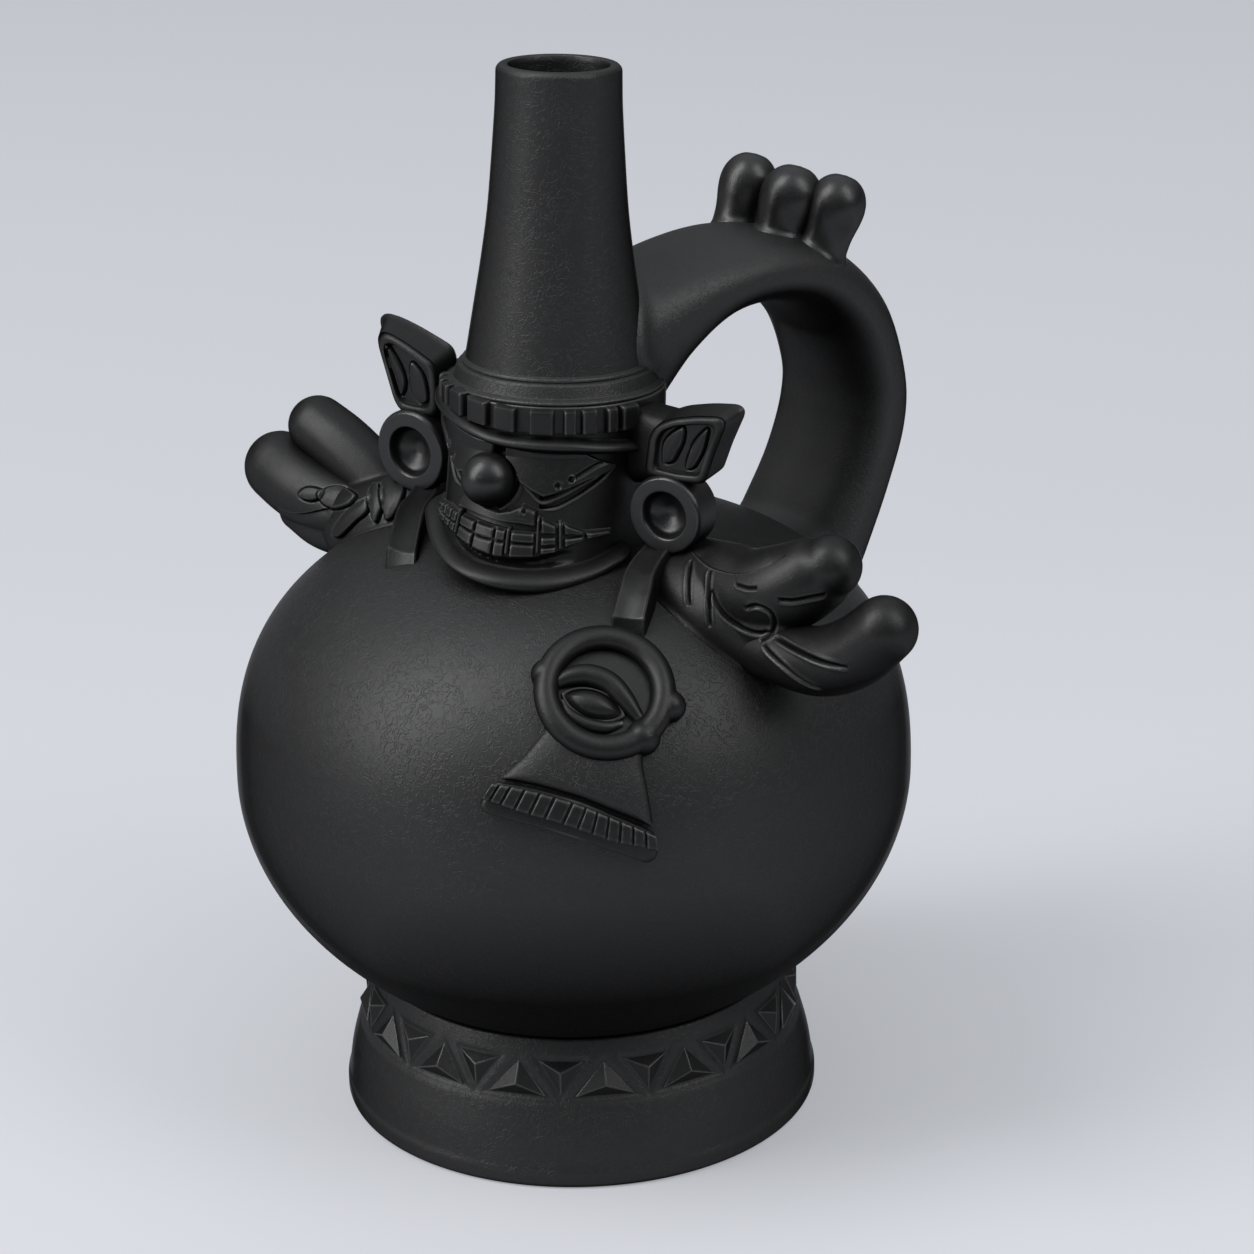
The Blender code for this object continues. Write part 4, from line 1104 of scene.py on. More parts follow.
# %% Collar and spout
HEAD_Y = -4.4
HEAD_Z = 140.0
HEAD_LEAN = math.radians(-2.8)
FACE_TURN = math.radians(8.0)
HEAD = at(0.0, HEAD_Y, HEAD_Z) @ Matrix.Rotation(HEAD_LEAN, 4, "X")
FACE = HEAD @ Matrix.Rotation(FACE_TURN, 4, "Z")
HEAD_TOP = 30.6
SPOUT_BASE = 34.6
SPOUT_RIM = SPOUT_BASE + 65.0
collar_corners = [
    (17.0, 30.9, 0.0), (23.6, 30.9, 0.5), (23.7, 31.5, 0.5), (22.9, 32.0, 0.5), (22.5, 32.2, 0.3),
    (21.5, 34.9, 0.9), (20.6, 35.3, 0.5), (17.0, 35.3, 0.4), (17.0, 30.9, 0.0)]
collar = moved(turned(rounded(collar_corners, 0.8), 192), HEAD)
piece("collar_ring", collar, "burnished_clay", ["collar_ring"])

side_knots = [(13.5, SPOUT_RIM - 3.5), (13.65, SPOUT_RIM - 9.0), (14.3, SPOUT_BASE + 45.5),
              (15.2, SPOUT_BASE + 33.8), (16.5, SPOUT_BASE + 23.4), (18.1, SPOUT_BASE + 13.0),
              (19.5, SPOUT_BASE + 3.9), (19.85, SPOUT_BASE + 1.8)]
spout_wall = [(r, z, 0.0) for r, z in smooth_line(side_knots, 6)]
spout_corners = [(11.5, SPOUT_RIM, 0.0), (12.6, SPOUT_RIM, 0.5),
                 (13.45, SPOUT_RIM - 0.9, 0.8)] + spout_wall
spout_corners += [(20.6, SPOUT_BASE + 1.3, 0.3), (20.75, SPOUT_BASE + 0.7, 0.3),
                  (16.7, SPOUT_BASE + 0.6, 0.0), (16.7, 31.2, 0.0), (13.6, 31.2, 0.0),
                  (12.8, SPOUT_BASE + 14.0, 0.0), (11.0, SPOUT_RIM - 16.0, 0.0),
                  (10.7, SPOUT_RIM - 1.0, 0.6), (11.0, SPOUT_RIM - 0.15, 0.35), (11.5, SPOUT_RIM, 0.0)]
spout_body = moved(turned(rounded(spout_corners, 1.2), 160), HEAD)
piece("spout", spout_body, "burnished_clay", ["spout"])

# %% [markdown]
# ## Loop handle and knobs
# The handle is a pulled strap with a soft square section. It springs from the spout's base, arches over
# the back and flows into the globe, so its ends are flared by a fillet towards what they meet. Three
# pinched knobs stand on the arch, each flared into the strap. A sweep of one section along a line gives
# the strap its changing width, and the knobs are turned like the globe and leaned.

# %% Handle
HANDLE_TURN = math.radians(12.0)
HANDLE = Matrix.Rotation(-HANDLE_TURN, 4, "Z")
HANDLE_POWER = 2.45
# Each knot: distance from the axis, height, half width and half thickness.
HANDLE_KNOTS = (
    (8.0, 173.0, 17.0, 15.5), (21.0, 181.4, 17.4, 11.2), (35.0, 186.8, 18.0, 8.1),
    (50.0, 187.6, 18.5, 7.8), (64.0, 183.4, 18.5, 8.4), (75.2, 172.8, 18.5, 8.6),
    (80.8, 158.0, 18.5, 8.3), (80.8, 147.0, 18.5, 8.4), (76.2, 134.0, 18.5, 8.5),
    (69.5, 121.5, 19.0, 9.2), (62.5, 110.0, 19.5, 10.2), (58.0, 102.0, 20.0, 11.0))


def handle_body():
    """The strap's section carried along its line, with a half width and half thickness at each knot."""
    path = smooth_line(HANDLE_KNOTS, 14)
    way = unit(np.gradient(path[:, :2], axis=0))
    across, out = soft_square(96, HANDLE_POWER)
    rows = []
    for (r, z, wide, thick), (dr, dz) in zip(path, way):
        rows.append(np.stack([across * wide, r - dz * out * thick, z + dr * out * thick], 1))
    return moved(skin_rows(rows), HANDLE)


handle = handle_body()
SPOUT_TREE = tree_of(spout_body)
GLOBE_FILLET = 5.0
SPOUT_FILLET = 4.5
piece("handle", handle, "handled_clay", ["handle"],
      [fillet(globe_gap, GLOBE_FILLET), fillet(distance_to(SPOUT_TREE), SPOUT_FILLET)])
HANDLE_TREE = tree_of(handle)

# %% Knobs
KNOB_LEAN = math.radians(-21.0)
KNOB_FILLET = 1.5
KNOB_LINE = ((0.0, 17.2), (2.8, 16.8), (5.1, 15.3), (6.6, 12.9), (7.1, 10.3), (6.9, 7.6), (6.4, 5.0),
             (6.1, 2.6), (6.1, -1.0), (6.1, -4.5))
# Each knob: place across the strap, distance from the axis, height, size and roll.
KNOB_ROW = (("left", -11.4, 58.4, 192.0, 0.93, 0.0), ("centre", 3.6, 58.0, 191.9, 0.98, 2.0),
            ("right", 11.6, 64.2, 190.3, 0.93, 4.0))
for word, across, r, z, size, roll in KNOB_ROW:
    line = [(size * a, b) for a, b in smooth_line(KNOB_LINE, 7)]
    line[0] = (0.0, line[0][1])
    spot = HANDLE @ at(across, r, z) @ Matrix.Rotation(KNOB_LEAN, 4, "X")
    spot = spot @ Matrix.Rotation(math.radians(roll), 4, "Y")
    knob = moved(turned(line + [(0.0, line[-1][1])], 72), spot)
    piece("handle_knob_" + word, knob, "burnished_clay", ["handle_knob_" + word],
          [fillet(distance_to(HANDLE_TREE), KNOB_FILLET)], finish="polished")

# %% [markdown]
# ## Head and mask
# The head is a barrel whose muzzle swells forward. Every part of the mask is laid on its skin, so one
# function gives that skin at any angle and height, and each part is a pillowed plate on it: flat in the
# middle, rounded at its rim and sunk a little into the clay behind.


# %% Skin of the head
HEAD_RADIUS = 23.2
MUZZLE_START = 20.0
MUZZLE_SLOPE = 0.37
MUZZLE_TURN = 5.0
HEAD_BORE = 14.6


def head_skin(deg, z):
    """Radius of the head at an angle from the face's middle and a height."""
    swell = np.maximum(0.0, MUZZLE_START - z) * MUZZLE_SLOPE
    return HEAD_RADIUS + swell * np.maximum(0.0, np.cos(np.radians(deg - MUZZLE_TURN))) ** 3


def from_face(local):
    """Points of the face's frame in the bottle's."""
    return local @ np.array(FACE.to_3x3()).T + np.array(FACE.translation)


def to_face(points):
    """Points of the bottle's frame in the face's, and their angles from its middle."""
    local = (points - np.array(FACE.translation)) @ np.array(FACE.to_3x3())
    return local, np.degrees(np.arctan2(local[:, 0], -local[:, 1]))


def on_head(deg, z, grow):
    """Points at an angle from the face's middle, a height and a distance above the skin."""
    deg, z, grow = np.broadcast_arrays(*(np.asarray(v, float) for v in (deg, z, grow)))
    r = head_skin(deg, z) + grow
    a = np.radians(deg)
    return from_face(np.stack([r * np.sin(a), -r * np.cos(a), z], -1))


def crown(t, edge):
    """Rounded shoulder: nothing at both ends, one where t is further from them than the edge."""
    share = np.clip(np.minimum(t, 1.0 - t) / edge, 0.0, 1.0)
    return np.sqrt(np.maximum(0.0, 1.0 - (1.0 - share) ** 2))


def spread(count, edge=0.5):
    """Shares from nothing to one, closer together at both ends."""
    t = np.linspace(0.0, 1.0, count)
    return (1.0 - edge) * t + edge * 0.5 * (1.0 - np.cos(math.pi * t))


def head_plate(start, end, lower, upper, thick, edge=(0.2, 0.3), count=(40, 14), sink=1.2):
    """A pillowed plate on the head between two angles. Its edges may be functions of the angle."""
    u = spread(count[0])
    v = spread(count[1])
    deg = (start + (end - start) * u)[:, None]
    low = np.asarray(lower(deg) if callable(lower) else lower + 0.0 * deg)
    top = np.asarray(upper(deg) if callable(upper) else upper + 0.0 * deg)
    z = low + (top - low) * v[None, :]
    height = thick * crown(u, edge[0])[:, None] * crown(v, edge[1])
    front = on_head(deg, z, height)
    back = on_head(deg, z, -sink + 0.0 * height)
    return skin_rows(np.concatenate([front, back[:, ::-1]], 1))


# %% Head shell
NOSE_Z = 14.6
NOSE_OUT = 26.6
NOSE_RADIUS = 5.85
LID_LINE = ((12.3, 15.0), (15.8, 14.7), (21.8, 12.9), (27.2, 11.7), (34.0, 12.5), (44.8, 14.4),
            (54.3, 15.9), (64.0, 17.4))
RIM_LINE = ((15.6, 14.3), (20.8, 12.5), (26.4, 10.5), (34.1, 11.5), (44.2, 13.5), (52.3, 15.0),
            (59.5, 16.1))
SLIT_LINE = ((25.0, 9.0), (32.4, 9.1), (38.4, 10.1), (47.5, 12.0), (56.5, 14.1), (64.7, 16.6))
FACE_MID = 3.5
FACE_ROLL = 0.047                 # millimetres of height per degree: the mask is a little askew
SLIT_DEPTH = 1.2
CHIN_DEPTH = 1.5
CHIN_ENDS = (-34.0, 42.0)
NECK_DEPTH = 2.6


def edge_line(line):
    """A function of the angle through knots, straight between them."""
    xs, ys = np.array(sorted(map(tuple, line))).T
    return lambda deg: np.interp(deg, xs, ys)


CHIN_TOP = edge_line(((-34.0, 3.0), (-18.0, 2.4), (0.0, 0.0), (9.0, -0.8), (24.0, -0.6), (36.0, 0.5),
                      (46.0, 0.3), (54.0, -0.8)))
CHIN_LOW = edge_line(((-34.0, 3.6), (-18.0, 0.9), (-3.0, -1.8), (9.0, -2.6), (24.0, -3.0), (47.0, -2.3),
                      (54.0, -0.8)))


def mirrored(line):
    """The same line on the left half of the mask, which is a little higher."""
    return [(2 * FACE_MID - deg, z + 2.0 * FACE_ROLL * (deg - FACE_MID)) for deg, z in line]


def slit_relief(points, normals):
    """The eye slits: a sunk field between the lid and the lower lid."""
    local, deg = to_face(points)
    made = np.zeros(len(points))
    outside = np.hypot(local[:, 0], local[:, 1]) > HEAD_RADIUS - 3.0
    for flip in (list, mirrored):
        top = np.array(sorted(flip(RIM_LINE)))
        low = np.array(sorted(flip(SLIT_LINE)))
        gap = np.minimum(np.interp(deg, *top.T) + 1.2 - local[:, 2], local[:, 2] - np.interp(deg, *low.T))
        ends = np.minimum(deg - max(top[0, 0], low[0, 0]), min(top[-1, 0], low[-1, 0]) - deg) * 0.45
        made -= SLIT_DEPTH * np.clip(np.minimum(gap, ends) / 0.5, 0.0, 1.0) * outside
    return made


def socket_relief(points, normals):
    """A shallow socket with a fine rim round the nose, and a hollow chin under the teeth."""
    local, deg = to_face(points)
    front = local[:, 1] < 0.0
    gap = np.hypot(local[:, 0], local[:, 2] - NOSE_Z)
    made = -0.8 * np.exp(-((gap - 5.6) / 0.9) ** 2) + 0.55 * np.exp(-((gap - 7.0) / 0.5) ** 2)
    chin = np.minimum(local[:, 2] - CHIN_LOW(deg), CHIN_TOP(deg) - local[:, 2])
    ends = np.clip(np.minimum(deg - CHIN_ENDS[0], CHIN_ENDS[1] - deg) / 12.0, 0.0, 1.0)
    neck = np.clip(CHIN_LOW(deg) - 3.0 - local[:, 2], 0.0, 1.0)
    return (made - CHIN_DEPTH * ends * np.clip(chin / 0.9, 0.0, 1.0) - NECK_DEPTH * neck) * front


def head_body():
    """The barrel, finely divided where the face is, with its bore."""
    deg = np.concatenate([np.arange(-84.0, 84.0, 0.55), np.arange(84.0, 276.0, 3.0)])
    z = np.concatenate([np.linspace(-14.0, -8.0, 6), np.arange(-7.6, 22.0, 0.34),
                        np.linspace(22.0, HEAD_TOP, 10)])
    outer = on_head(deg[None, :], z[:, None], 0.0)
    a = np.radians(deg)
    bore = np.stack([HEAD_BORE * np.sin(a), -HEAD_BORE * np.cos(a)], 1)
    rows = [outer]
    for height in (HEAD_TOP, -10.0):
        local = np.concatenate([bore, np.full((len(a), 1), height)], 1)
        rows.append(from_face(local)[None])
    return skin_rows(np.concatenate(rows + [outer[:1]]), ends=False)


piece("head_shell", head_body(), "carved_clay", ["head_shell"], [slit_relief, socket_relief])

# %% [markdown]
# The headband is a plain hoop with a row of blocks in front, as if cut with a knife. They could be
# copies of one block, but no two are alike, so each is a plate of its own width.

# %% Headband
BAND_LOW = 24.7
BAND_HIGH = 30.5
BAND_RISE = 1.3
HOOP_RADIUS = 23.9
BLOCK_THICK = 2.3
BLOCK_EDGE = 0.55
BLOCK_START = -64.0
# Each block: its width and the gap after it, in degrees.
BLOCK_ROW = ((6.0, 3.0), (7.0, 3.0), (9.0, 3.5), (12.0, 4.0), (13.0, 4.0), (12.0, 6.5), (13.0, 4.0),
             (7.0, 2.0), (8.5, 4.5), (6.5, 2.0), (11.0, 0.0))


def band_rise(deg):
    """The band sits a little higher on the mask's left."""
    return BAND_RISE * np.clip((14.0 - deg) / 40.0, 0.0, 1.0)


hoop = [(22.4, BAND_LOW + 0.2, 0.0), (HOOP_RADIUS, BAND_LOW + 0.2, 0.5),
        (HOOP_RADIUS, BAND_HIGH + 0.3, 0.5), (22.4, BAND_HIGH + 0.3, 0.0), (22.4, BAND_LOW + 0.2, 0.0)]
band = [moved(turned(rounded(hoop, 0.8), 192), HEAD)]
turn = BLOCK_START
for width, space in BLOCK_ROW:
    edge = (BLOCK_EDGE / (math.radians(width) * HEAD_RADIUS), 0.12)
    band.append(head_plate(turn, turn + width, lambda d: BAND_LOW + band_rise(d),
                           lambda d: BAND_HIGH + band_rise(d), BLOCK_THICK, edge, (20, 16)))
    turn += width + space
piece("headband", join(band), "carved_clay", ["headband"])

# %% [markdown]
# A brow roll hangs under the band, and the lids are drawn down towards the nose with a slit under each.
# They could be sculpted, but as plates between two lines their edges stay crisp and follow the head.

# %% Brow, lids, lip
BROW_TOP = ((8.0, 24.3), (42.0, 24.0), (72.0, 22.5), (86.0, 21.6))
BROW_LOW = ((8.0, 21.3), (42.0, 20.7), (72.0, 19.6), (86.0, 18.9))
both = edge_line(list(BROW_TOP) + mirrored(BROW_TOP))
under = edge_line(list(BROW_LOW) + mirrored(BROW_LOW))
brow = head_plate(-78.0, 84.0, under, both, 3.2, (0.04, 0.5), (110, 18))
piece("brow_roll", brow, "carved_clay", ["brow_roll"])

LID_INNER = ((6.4, 19.8), (11.5, 18.2), (13.6, 16.9))
LID_EDGE = LID_INNER + LID_LINE[1:]
LID_CREASE = ((62.0, 19.3), (51.8, 18.0), (44.8, 16.5), (40.9, 15.5))
LID_PITS = ((33.8, 14.3), (40.1, 15.6))
LID_TAPER = 17.0
for word in ("left", "right"):
    flip = list if word == "right" else mirrored
    edge = flip(LID_EDGE)
    low = edge_line(edge)
    start, end = min(edge)[0], max(edge)[0]
    relief = [stroke(on_head(*np.array(flip(LID_CREASE)).T, 1.7), 0.8, -0.5)]
    relief += [pit(on_head(*spot, 1.8), 0.75, 0.5) for spot in flip(LID_PITS)]
    outer = end if word == "right" else start

    def top(deg):
        """Up to the brow, and down to a point at the outer end."""
        share = np.clip(np.abs(outer - deg) / LID_TAPER, 0.0, 1.0) ** 0.7
        return low(deg) + 0.2 + (under(deg) + 0.4 - low(deg)) * share

    plate = head_plate(start, end, low, top, 1.9, (0.03, 0.09), (130, 44))
    piece("eyelid_" + word, plate, "carved_clay", ["eyelid_" + word], relief)

EYE_CORD = 0.42
cords = []
for flip in (list, mirrored):
    for line, grow in ((RIM_LINE, 0.15), (SLIT_LINE, 0.0)):
        spots = smooth_line(flip(line), 10)
        path = on_head(spots[:, 0], spots[:, 1], grow)
        taper = np.clip(np.minimum(np.arange(len(path)), np.arange(len(path))[::-1]) / 8.0, 0.25, 1.0)
        cords.append(tube(path, EYE_CORD * taper, 14))
piece("eye_cords", join(cords), "carved_clay")

LIP_LOW = ((-14.0, 7.6), (7.0, 6.6), (24.0, 5.7))
LIP_TOP = ((-14.0, 8.8), (-12.0, 10.6), (-8.0, 11.0), (-4.0, 10.3), (2.0, 9.2), (8.0, 8.6), (13.0, 9.2),
           (18.0, 10.4), (21.0, 9.9), (24.0, 9.3))
lip = head_plate(-15.0, 24.6, edge_line(LIP_LOW), edge_line(LIP_TOP), 1.7, (0.05, 0.25), (90, 20))
piece("upper_lip", lip, "carved_clay", ["upper_lip"], [pit(on_head(19.0, 9.0, 1.7), 0.6, 0.5)])

# %% [markdown]
# Two rows of square teeth, with posts and fangs among them, sit over a thick crescent jaw. Lines cut
# into one strip would do from afar, but each tooth is its own small plate on a thin backing, so that
# the gaps are real.

# %% Teeth and jaw
TOOTH_TOP = edge_line(((-40.0, 5.6), (-24.0, 6.9), (-2.0, 5.9), (14.0, 4.9), (24.0, 4.7), (36.0, 6.4),
                       (46.0, 4.2), (60.0, 3.6)))
TOOTH_MID = edge_line(((-40.0, 4.7), (-10.0, 4.1), (1.0, 3.1), (13.0, 2.6), (24.0, 2.4), (36.0, 3.4),
                       (46.0, 3.4), (60.0, 3.1)))
TOOTH_LOW = edge_line(((-40.0, 3.6), (-18.0, 2.7), (0.0, 0.1), (9.0, -0.7), (24.0, -0.5), (36.0, 0.7),
                       (46.0, 2.4), (60.0, 2.6)))
TOOTH_ROW = ((-37.0, -30.0), (-29.5, -24.0), (-23.5, -18.4), (-17.9, -13.8), (-11.2, -2.6), (-2.0, 7.0),
             (7.6, 12.1), (14.3, 24.2))
# Each post: two angles and two heights. Each fang: two angles, then its upper and its lower edge's heights.
TOOTH_POSTS = ((-13.5, -11.6, 2.0, 7.4), (12.3, 14.0, 0.0, 5.6), (24.6, 26.0, 0.2, 8.0),
               (34.0, 35.6, 0.9, 6.9))
FANGS = ((26.4, 33.2, 7.7, 6.1, 4.1, 4.1), (26.4, 33.2, 3.8, 3.8, 1.9, 1.9),
         (26.4, 33.2, 1.6, 1.7, 0.2, 0.5), (36.2, 46.0, 6.6, 4.2, 3.7, 3.6),
         (36.2, 46.0, 3.4, 3.3, 1.1, 2.4), (46.6, 60.0, 4.0, 3.5, 2.4, 2.9))
TOOTH_THICK = 1.6
TOOTH_GAP = 0.06
TOOTH_EDGE = 0.45
MOUTH_RADIUS = 30.0
teeth = [head_plate(-42.0, 62.0, lambda d: TOOTH_LOW(d) - 0.2, lambda d: TOOTH_TOP(d) + 0.2, 0.5,
                    (0.02, 0.1), (90, 10))]
for start, end in TOOTH_ROW:
    edge = (TOOTH_EDGE / (math.radians(end - start) * MOUTH_RADIUS), 0.22)
    for low, high in ((TOOTH_LOW, TOOTH_MID), (TOOTH_MID, TOOTH_TOP)):
        teeth.append(head_plate(start, end, lambda d: low(d) + TOOTH_GAP, lambda d: high(d) - TOOTH_GAP,
                                TOOTH_THICK, edge, (22, 14)))
for start, end, low, high in TOOTH_POSTS:
    teeth.append(head_plate(start, end, low, high, 1.7, (0.5, 0.12), (8, 18)))
for start, end, *heights in FANGS:
    top = edge_line(((start, heights[0]), (end, heights[1])))
    low = edge_line(((start, heights[2]), (end, heights[3])))
    teeth.append(head_plate(start, end, low, top, TOOTH_THICK, (0.15, 0.3), (18, 12)))
piece("tooth_row", join(teeth), "carved_clay", ["tooth_row"])

JAW_TOP = ((-50.0, 6.0), (-35.0, 4.4), (-24.7, 2.4), (-13.9, 0.2), (-3.4, -1.6), (8.8, -2.5),
           (21.5, -2.9), (34.3, -2.8), (47.6, -2.2), (59.9, -1.1), (72.0, 0.2))
JAW_LOW = ((-50.0, 3.2), (-35.0, 0.6), (-21.0, -2.0), (-7.3, -4.4), (3.3, -6.0), (13.8, -7.2),
           (27.3, -8.0), (38.9, -7.5), (53.3, -6.0), (67.0, -3.2), (72.0, -2.0))
jaw_low, jaw_top = [edge_line(smooth_line(line, 6)) for line in (JAW_LOW, JAW_TOP)]
jaw = head_plate(-50.0, 72.0, jaw_low, jaw_top, 4.3, (0.08, 0.5), (130, 24), 2.4)
piece("jaw_roll", jaw, "carved_clay", ["jaw_roll"])

# %% [markdown]
# The nose is a plain ball of clay pressed into its socket.

# %% Nose
nose = moved(turned(ball_line(NOSE_RADIUS, 40), 64), FACE @ at(0.0, -NOSE_OUT, NOSE_Z))
piece("nose_ball", nose, "burnished_clay", ["nose_ball"], finish="polished")

# %% [markdown]
# ## Ears, spools and straps
# Each ear is a wedge with a raised rim round a sunk panel with two leaves, on a thick stalk. Below it
# sits a spool like a large ear ornament with a dished front, and from the spool a dished strap runs
# down to the globe. The spools are turned like the globe, and the wedges and straps are skins through
# rows of points.

# %% Spools
SPOOL_AT = (36.7, -11.5, 149.3)
EAR_AT = (40.0, -10.0, 165.0)
EAR_TURN = {"left": math.radians(5.0), "right": math.radians(10.0)}
SIDES = ((-1, "left"), (1, "right"))
SPOOL_SCALE = {"left": 1.1, "right": 1.0}
spool_corners = [(0.0, -4.0, 0.0), (1.2, -3.9, 0.6), (4.6, -2.4, 1.2), (5.05, -0.4, 0.3), (5.4, 0.1, 0.3),
                 (8.1, 0.05, 0.3), (8.65, -0.7, 0.45), (8.65, -8.0, 0.6), (7.6, -8.6, 0.0),
                 (0.0, -8.6, 0.0)]


def ear_frame(place, side, word):
    """A frame at a place on either side, facing the way that ear faces."""
    normal = (math.sin(EAR_TURN[word]), -math.cos(EAR_TURN[word]), 0.0)
    return facing((side * place[0], place[1], place[2]), normal)


for side, word in SIDES:
    spot = ear_frame(SPOOL_AT, side, word)
    corners = [(r * SPOOL_SCALE[word], z, soft) for r, z, soft in spool_corners]
    piece("ear_spool_" + word, moved(turned(rounded(corners, 0.7), 128), spot), "burnished_clay",
          ["ear_spool_" + word], finish="polished")

# %% Ear wedges
EAR_FACE = {
    "left": ((-9.5, -7.6), (-9.9, -1.1), (-9.5, 4.8), (-6.0, 6.6), (-0.7, 9.0), (4.6, 10.6), (6.8, 8.4),
             (4.6, 1.3), (1.9, -7.4), (-2.8, -7.9)),
    "right": ((-8.9, -7.8), (-7.8, 0.7), (-5.8, 3.7), (-1.9, 5.6), (3.8, 6.9), (9.4, 7.5), (10.7, 6.1),
              (7.8, -0.9), (5.4, -8.0), (-1.8, -8.4))}
EAR_FLARE = {"left": (5.5, 2.6), "right": (1.6, 1.4)}
EAR_DEPTH = 8.0
EAR_SUNK = 1.3
EAR_LEAF = 0.8
EAR_RINGS = [(0.0, -1.2), (0.015, -0.75), (0.04, -0.38), (0.08, -0.1), (0.12, 0.0), (0.2, 0.0),
             (0.225, -0.12), (0.245, -0.5), (0.26, -1.1),
             (0.28, -EAR_SUNK)] + [(s, -EAR_SUNK) for s in np.linspace(0.31, 0.98, 24)]
EAR_BACK = ((0.3, -EAR_DEPTH), (0.12, -EAR_DEPTH), (0.05, -EAR_DEPTH + 0.35), (0.0, -EAR_DEPTH + 1.3))
EAR_LEAVES = {
    "left": (((4.0, 7.4), (3.9, 4.4), (2.6, 0.6), (0.8, -3.8), (-0.6, -0.8), (0.6, 3.0)),
             ((-2.4, 4.4), (-1.7, 1.6), (-2.2, -2.2), (-4.4, -4.8), (-6.6, -3.8), (-6.2, 0.6),
              (-4.6, 3.2))),
    "right": (((-4.7, -4.4), (-4.6, -0.6), (-2.8, 2.0), (0.4, 4.0), (0.4, 1.0), (-0.8, -1.8),
               (-2.4, -4.2)),
              ((0.8, -5.0), (1.6, -1.6), (3.2, 1.6), (6.2, 4.4), (5.6, 0.6), (4.2, -2.6), (2.6, -4.8)))}
EAR_CORNER = {"left": 3.4, "right": 1.8}
STALK_POWER = 4.0
STALK_X = (16.0, 23.0)            # where it starts and how far it reaches
STALK_Y = (-1.0, 5.6)             # its middle and half its thickness
STALK_Z = (159.6, 2.6)            # its middle and how far that rises
STALK_TALL = (9.6, 3.4)           # half its height and how much of that it loses


def shrink_rows(outline, centre, rings):
    """Rings of an outline drawn towards a centre or another outline by shares, each at a height."""
    rows = []
    for share, height in rings:
        flat = outline + (centre - outline) * share
        rows.append(np.concatenate([flat, np.full((len(flat), 1), height)], 1))
    return rows


for side, word in SIDES:
    ear_at = ear_frame(EAR_AT, side, word)
    face = loop_points(EAR_FACE[word], 200, EAR_CORNER[word])
    shift_u, shift_v = EAR_FLARE[word]
    back = np.stack([face[:, 0] + shift_u * (0.4 + 0.06 * face[:, 0]), face[:, 1] + shift_v], 1)
    rows = shrink_rows(back, back.mean(0), EAR_BACK)
    for t in np.linspace(0.25, 0.9, 7):
        rows += shrink_rows(back, face, ((t, -EAR_DEPTH * (1.0 - t)),))
    middle = face.mean(0) + (-0.1, 0.3)
    rows += shrink_rows(face, middle, EAR_RINGS)
    ear = moved(skin_rows(np.array(rows) * (side, 1.0, 1.0)), ear_at)
    stalk = []
    box_y, box_z = soft_square(64, STALK_POWER)
    for share in np.linspace(0.0, 1.0, 16):
        x = np.full(64, side * (STALK_X[0] + STALK_X[1] * share))
        tall = STALK_TALL[0] - STALK_TALL[1] * share
        z = STALK_Z[0] + STALK_Z[1] * share + tall * box_z
        stalk.append(np.stack([x, STALK_Y[0] + STALK_Y[1] * box_y, z], 1))
    leaves = []
    for outline in EAR_LEAVES[word]:
        leaf = [tuple(ear_at @ Vector((side * u, v, -EAR_SUNK))) for u, v in outline]
        leaves.append(pad(leaf, EAR_LEAF))
    piece("ear_flange_" + word, join([ear, skin_rows(stalk)]), "carved_clay", ["ear_flange_" + word],
          leaves)

# %% Straps
STRAP = {
    "left": ((34.6, -6.0, 140.8), (32.0, -13.0, 138.4), (28.0, -20.5, 138.4), (22.8, -28.0, 136.9),
             (18.4, -34.4, 134.4)),
    "right": ((34.6, -6.5, 141.0), (34.7, -13.0, 138.8), (36.2, -18.8, 136.8), (38.3, -23.2, 134.2),
              (40.0, -27.2, 130.6))}
STRAP_SKEW = {"left": 0.45, "right": 0.0}
STRAP_HALF = {"left": (3.1, 3.6), "right": (3.2, 3.8)}
STRAP_SECTION = ((-1.0, -4.5), (1.0, -4.5), (1.0, 0.6), (0.98, 1.5), (0.93, 2.2), (0.84, 2.5),
                 (0.72, 2.4), (0.5, 2.15), (0.0, 1.95), (-0.5, 2.15), (-0.72, 2.4), (-0.84, 2.5),
                 (-0.93, 2.2), (-0.98, 1.5), (-1.0, 0.6))
STRAP_TOE = 4.2
TOE_STEPS = ((0.04, 0.02), (0.12, 0.1), (0.5, 0.42), (1.0, 0.85), (1.3, 1.3))     # onwards, down
STRAP_FILLET = 0.4
for side, word in SIDES:
    line = smooth_line(np.array(STRAP[word]) * (side, 1.0, 1.0), 12)
    way = unit(np.gradient(line, axis=0))
    row = unit(np.cross((0.0, 0.0, 1.0), way))
    out = np.cross(way, row)
    out *= np.sign(out[:, 2:])
    wide = np.interp(np.linspace(0.0, 1.0, len(line)), (0.0, 1.0), STRAP_HALF[word])
    section = np.array(STRAP_SECTION)
    rows = (line[:, None] + row[:, None] * (section[None, :, :1] * wide[:, None, None])
            + out[:, None] * section[None, :, 1:])
    skew = STRAP_SKEW[word] * np.clip(np.linspace(-2.0, 1.0, len(line)), 0.0, 1.0)
    rows += way[:, None] * skew[:, None, None] * (rows[..., :1] - line[:, None, :1])
    toes = [rows]
    for share, drop in TOE_STEPS:
        toe = rows[-1] + way[-1] * STRAP_TOE * share - out[-1] * STRAP_TOE * drop
        toes.append(toe[None])
    piece("ear_strap_" + word, skin_rows(np.concatenate(toes)), "carved_clay", ["ear_strap_" + word],
          [fillet(globe_gap, STRAP_FILLET)], 30.0)

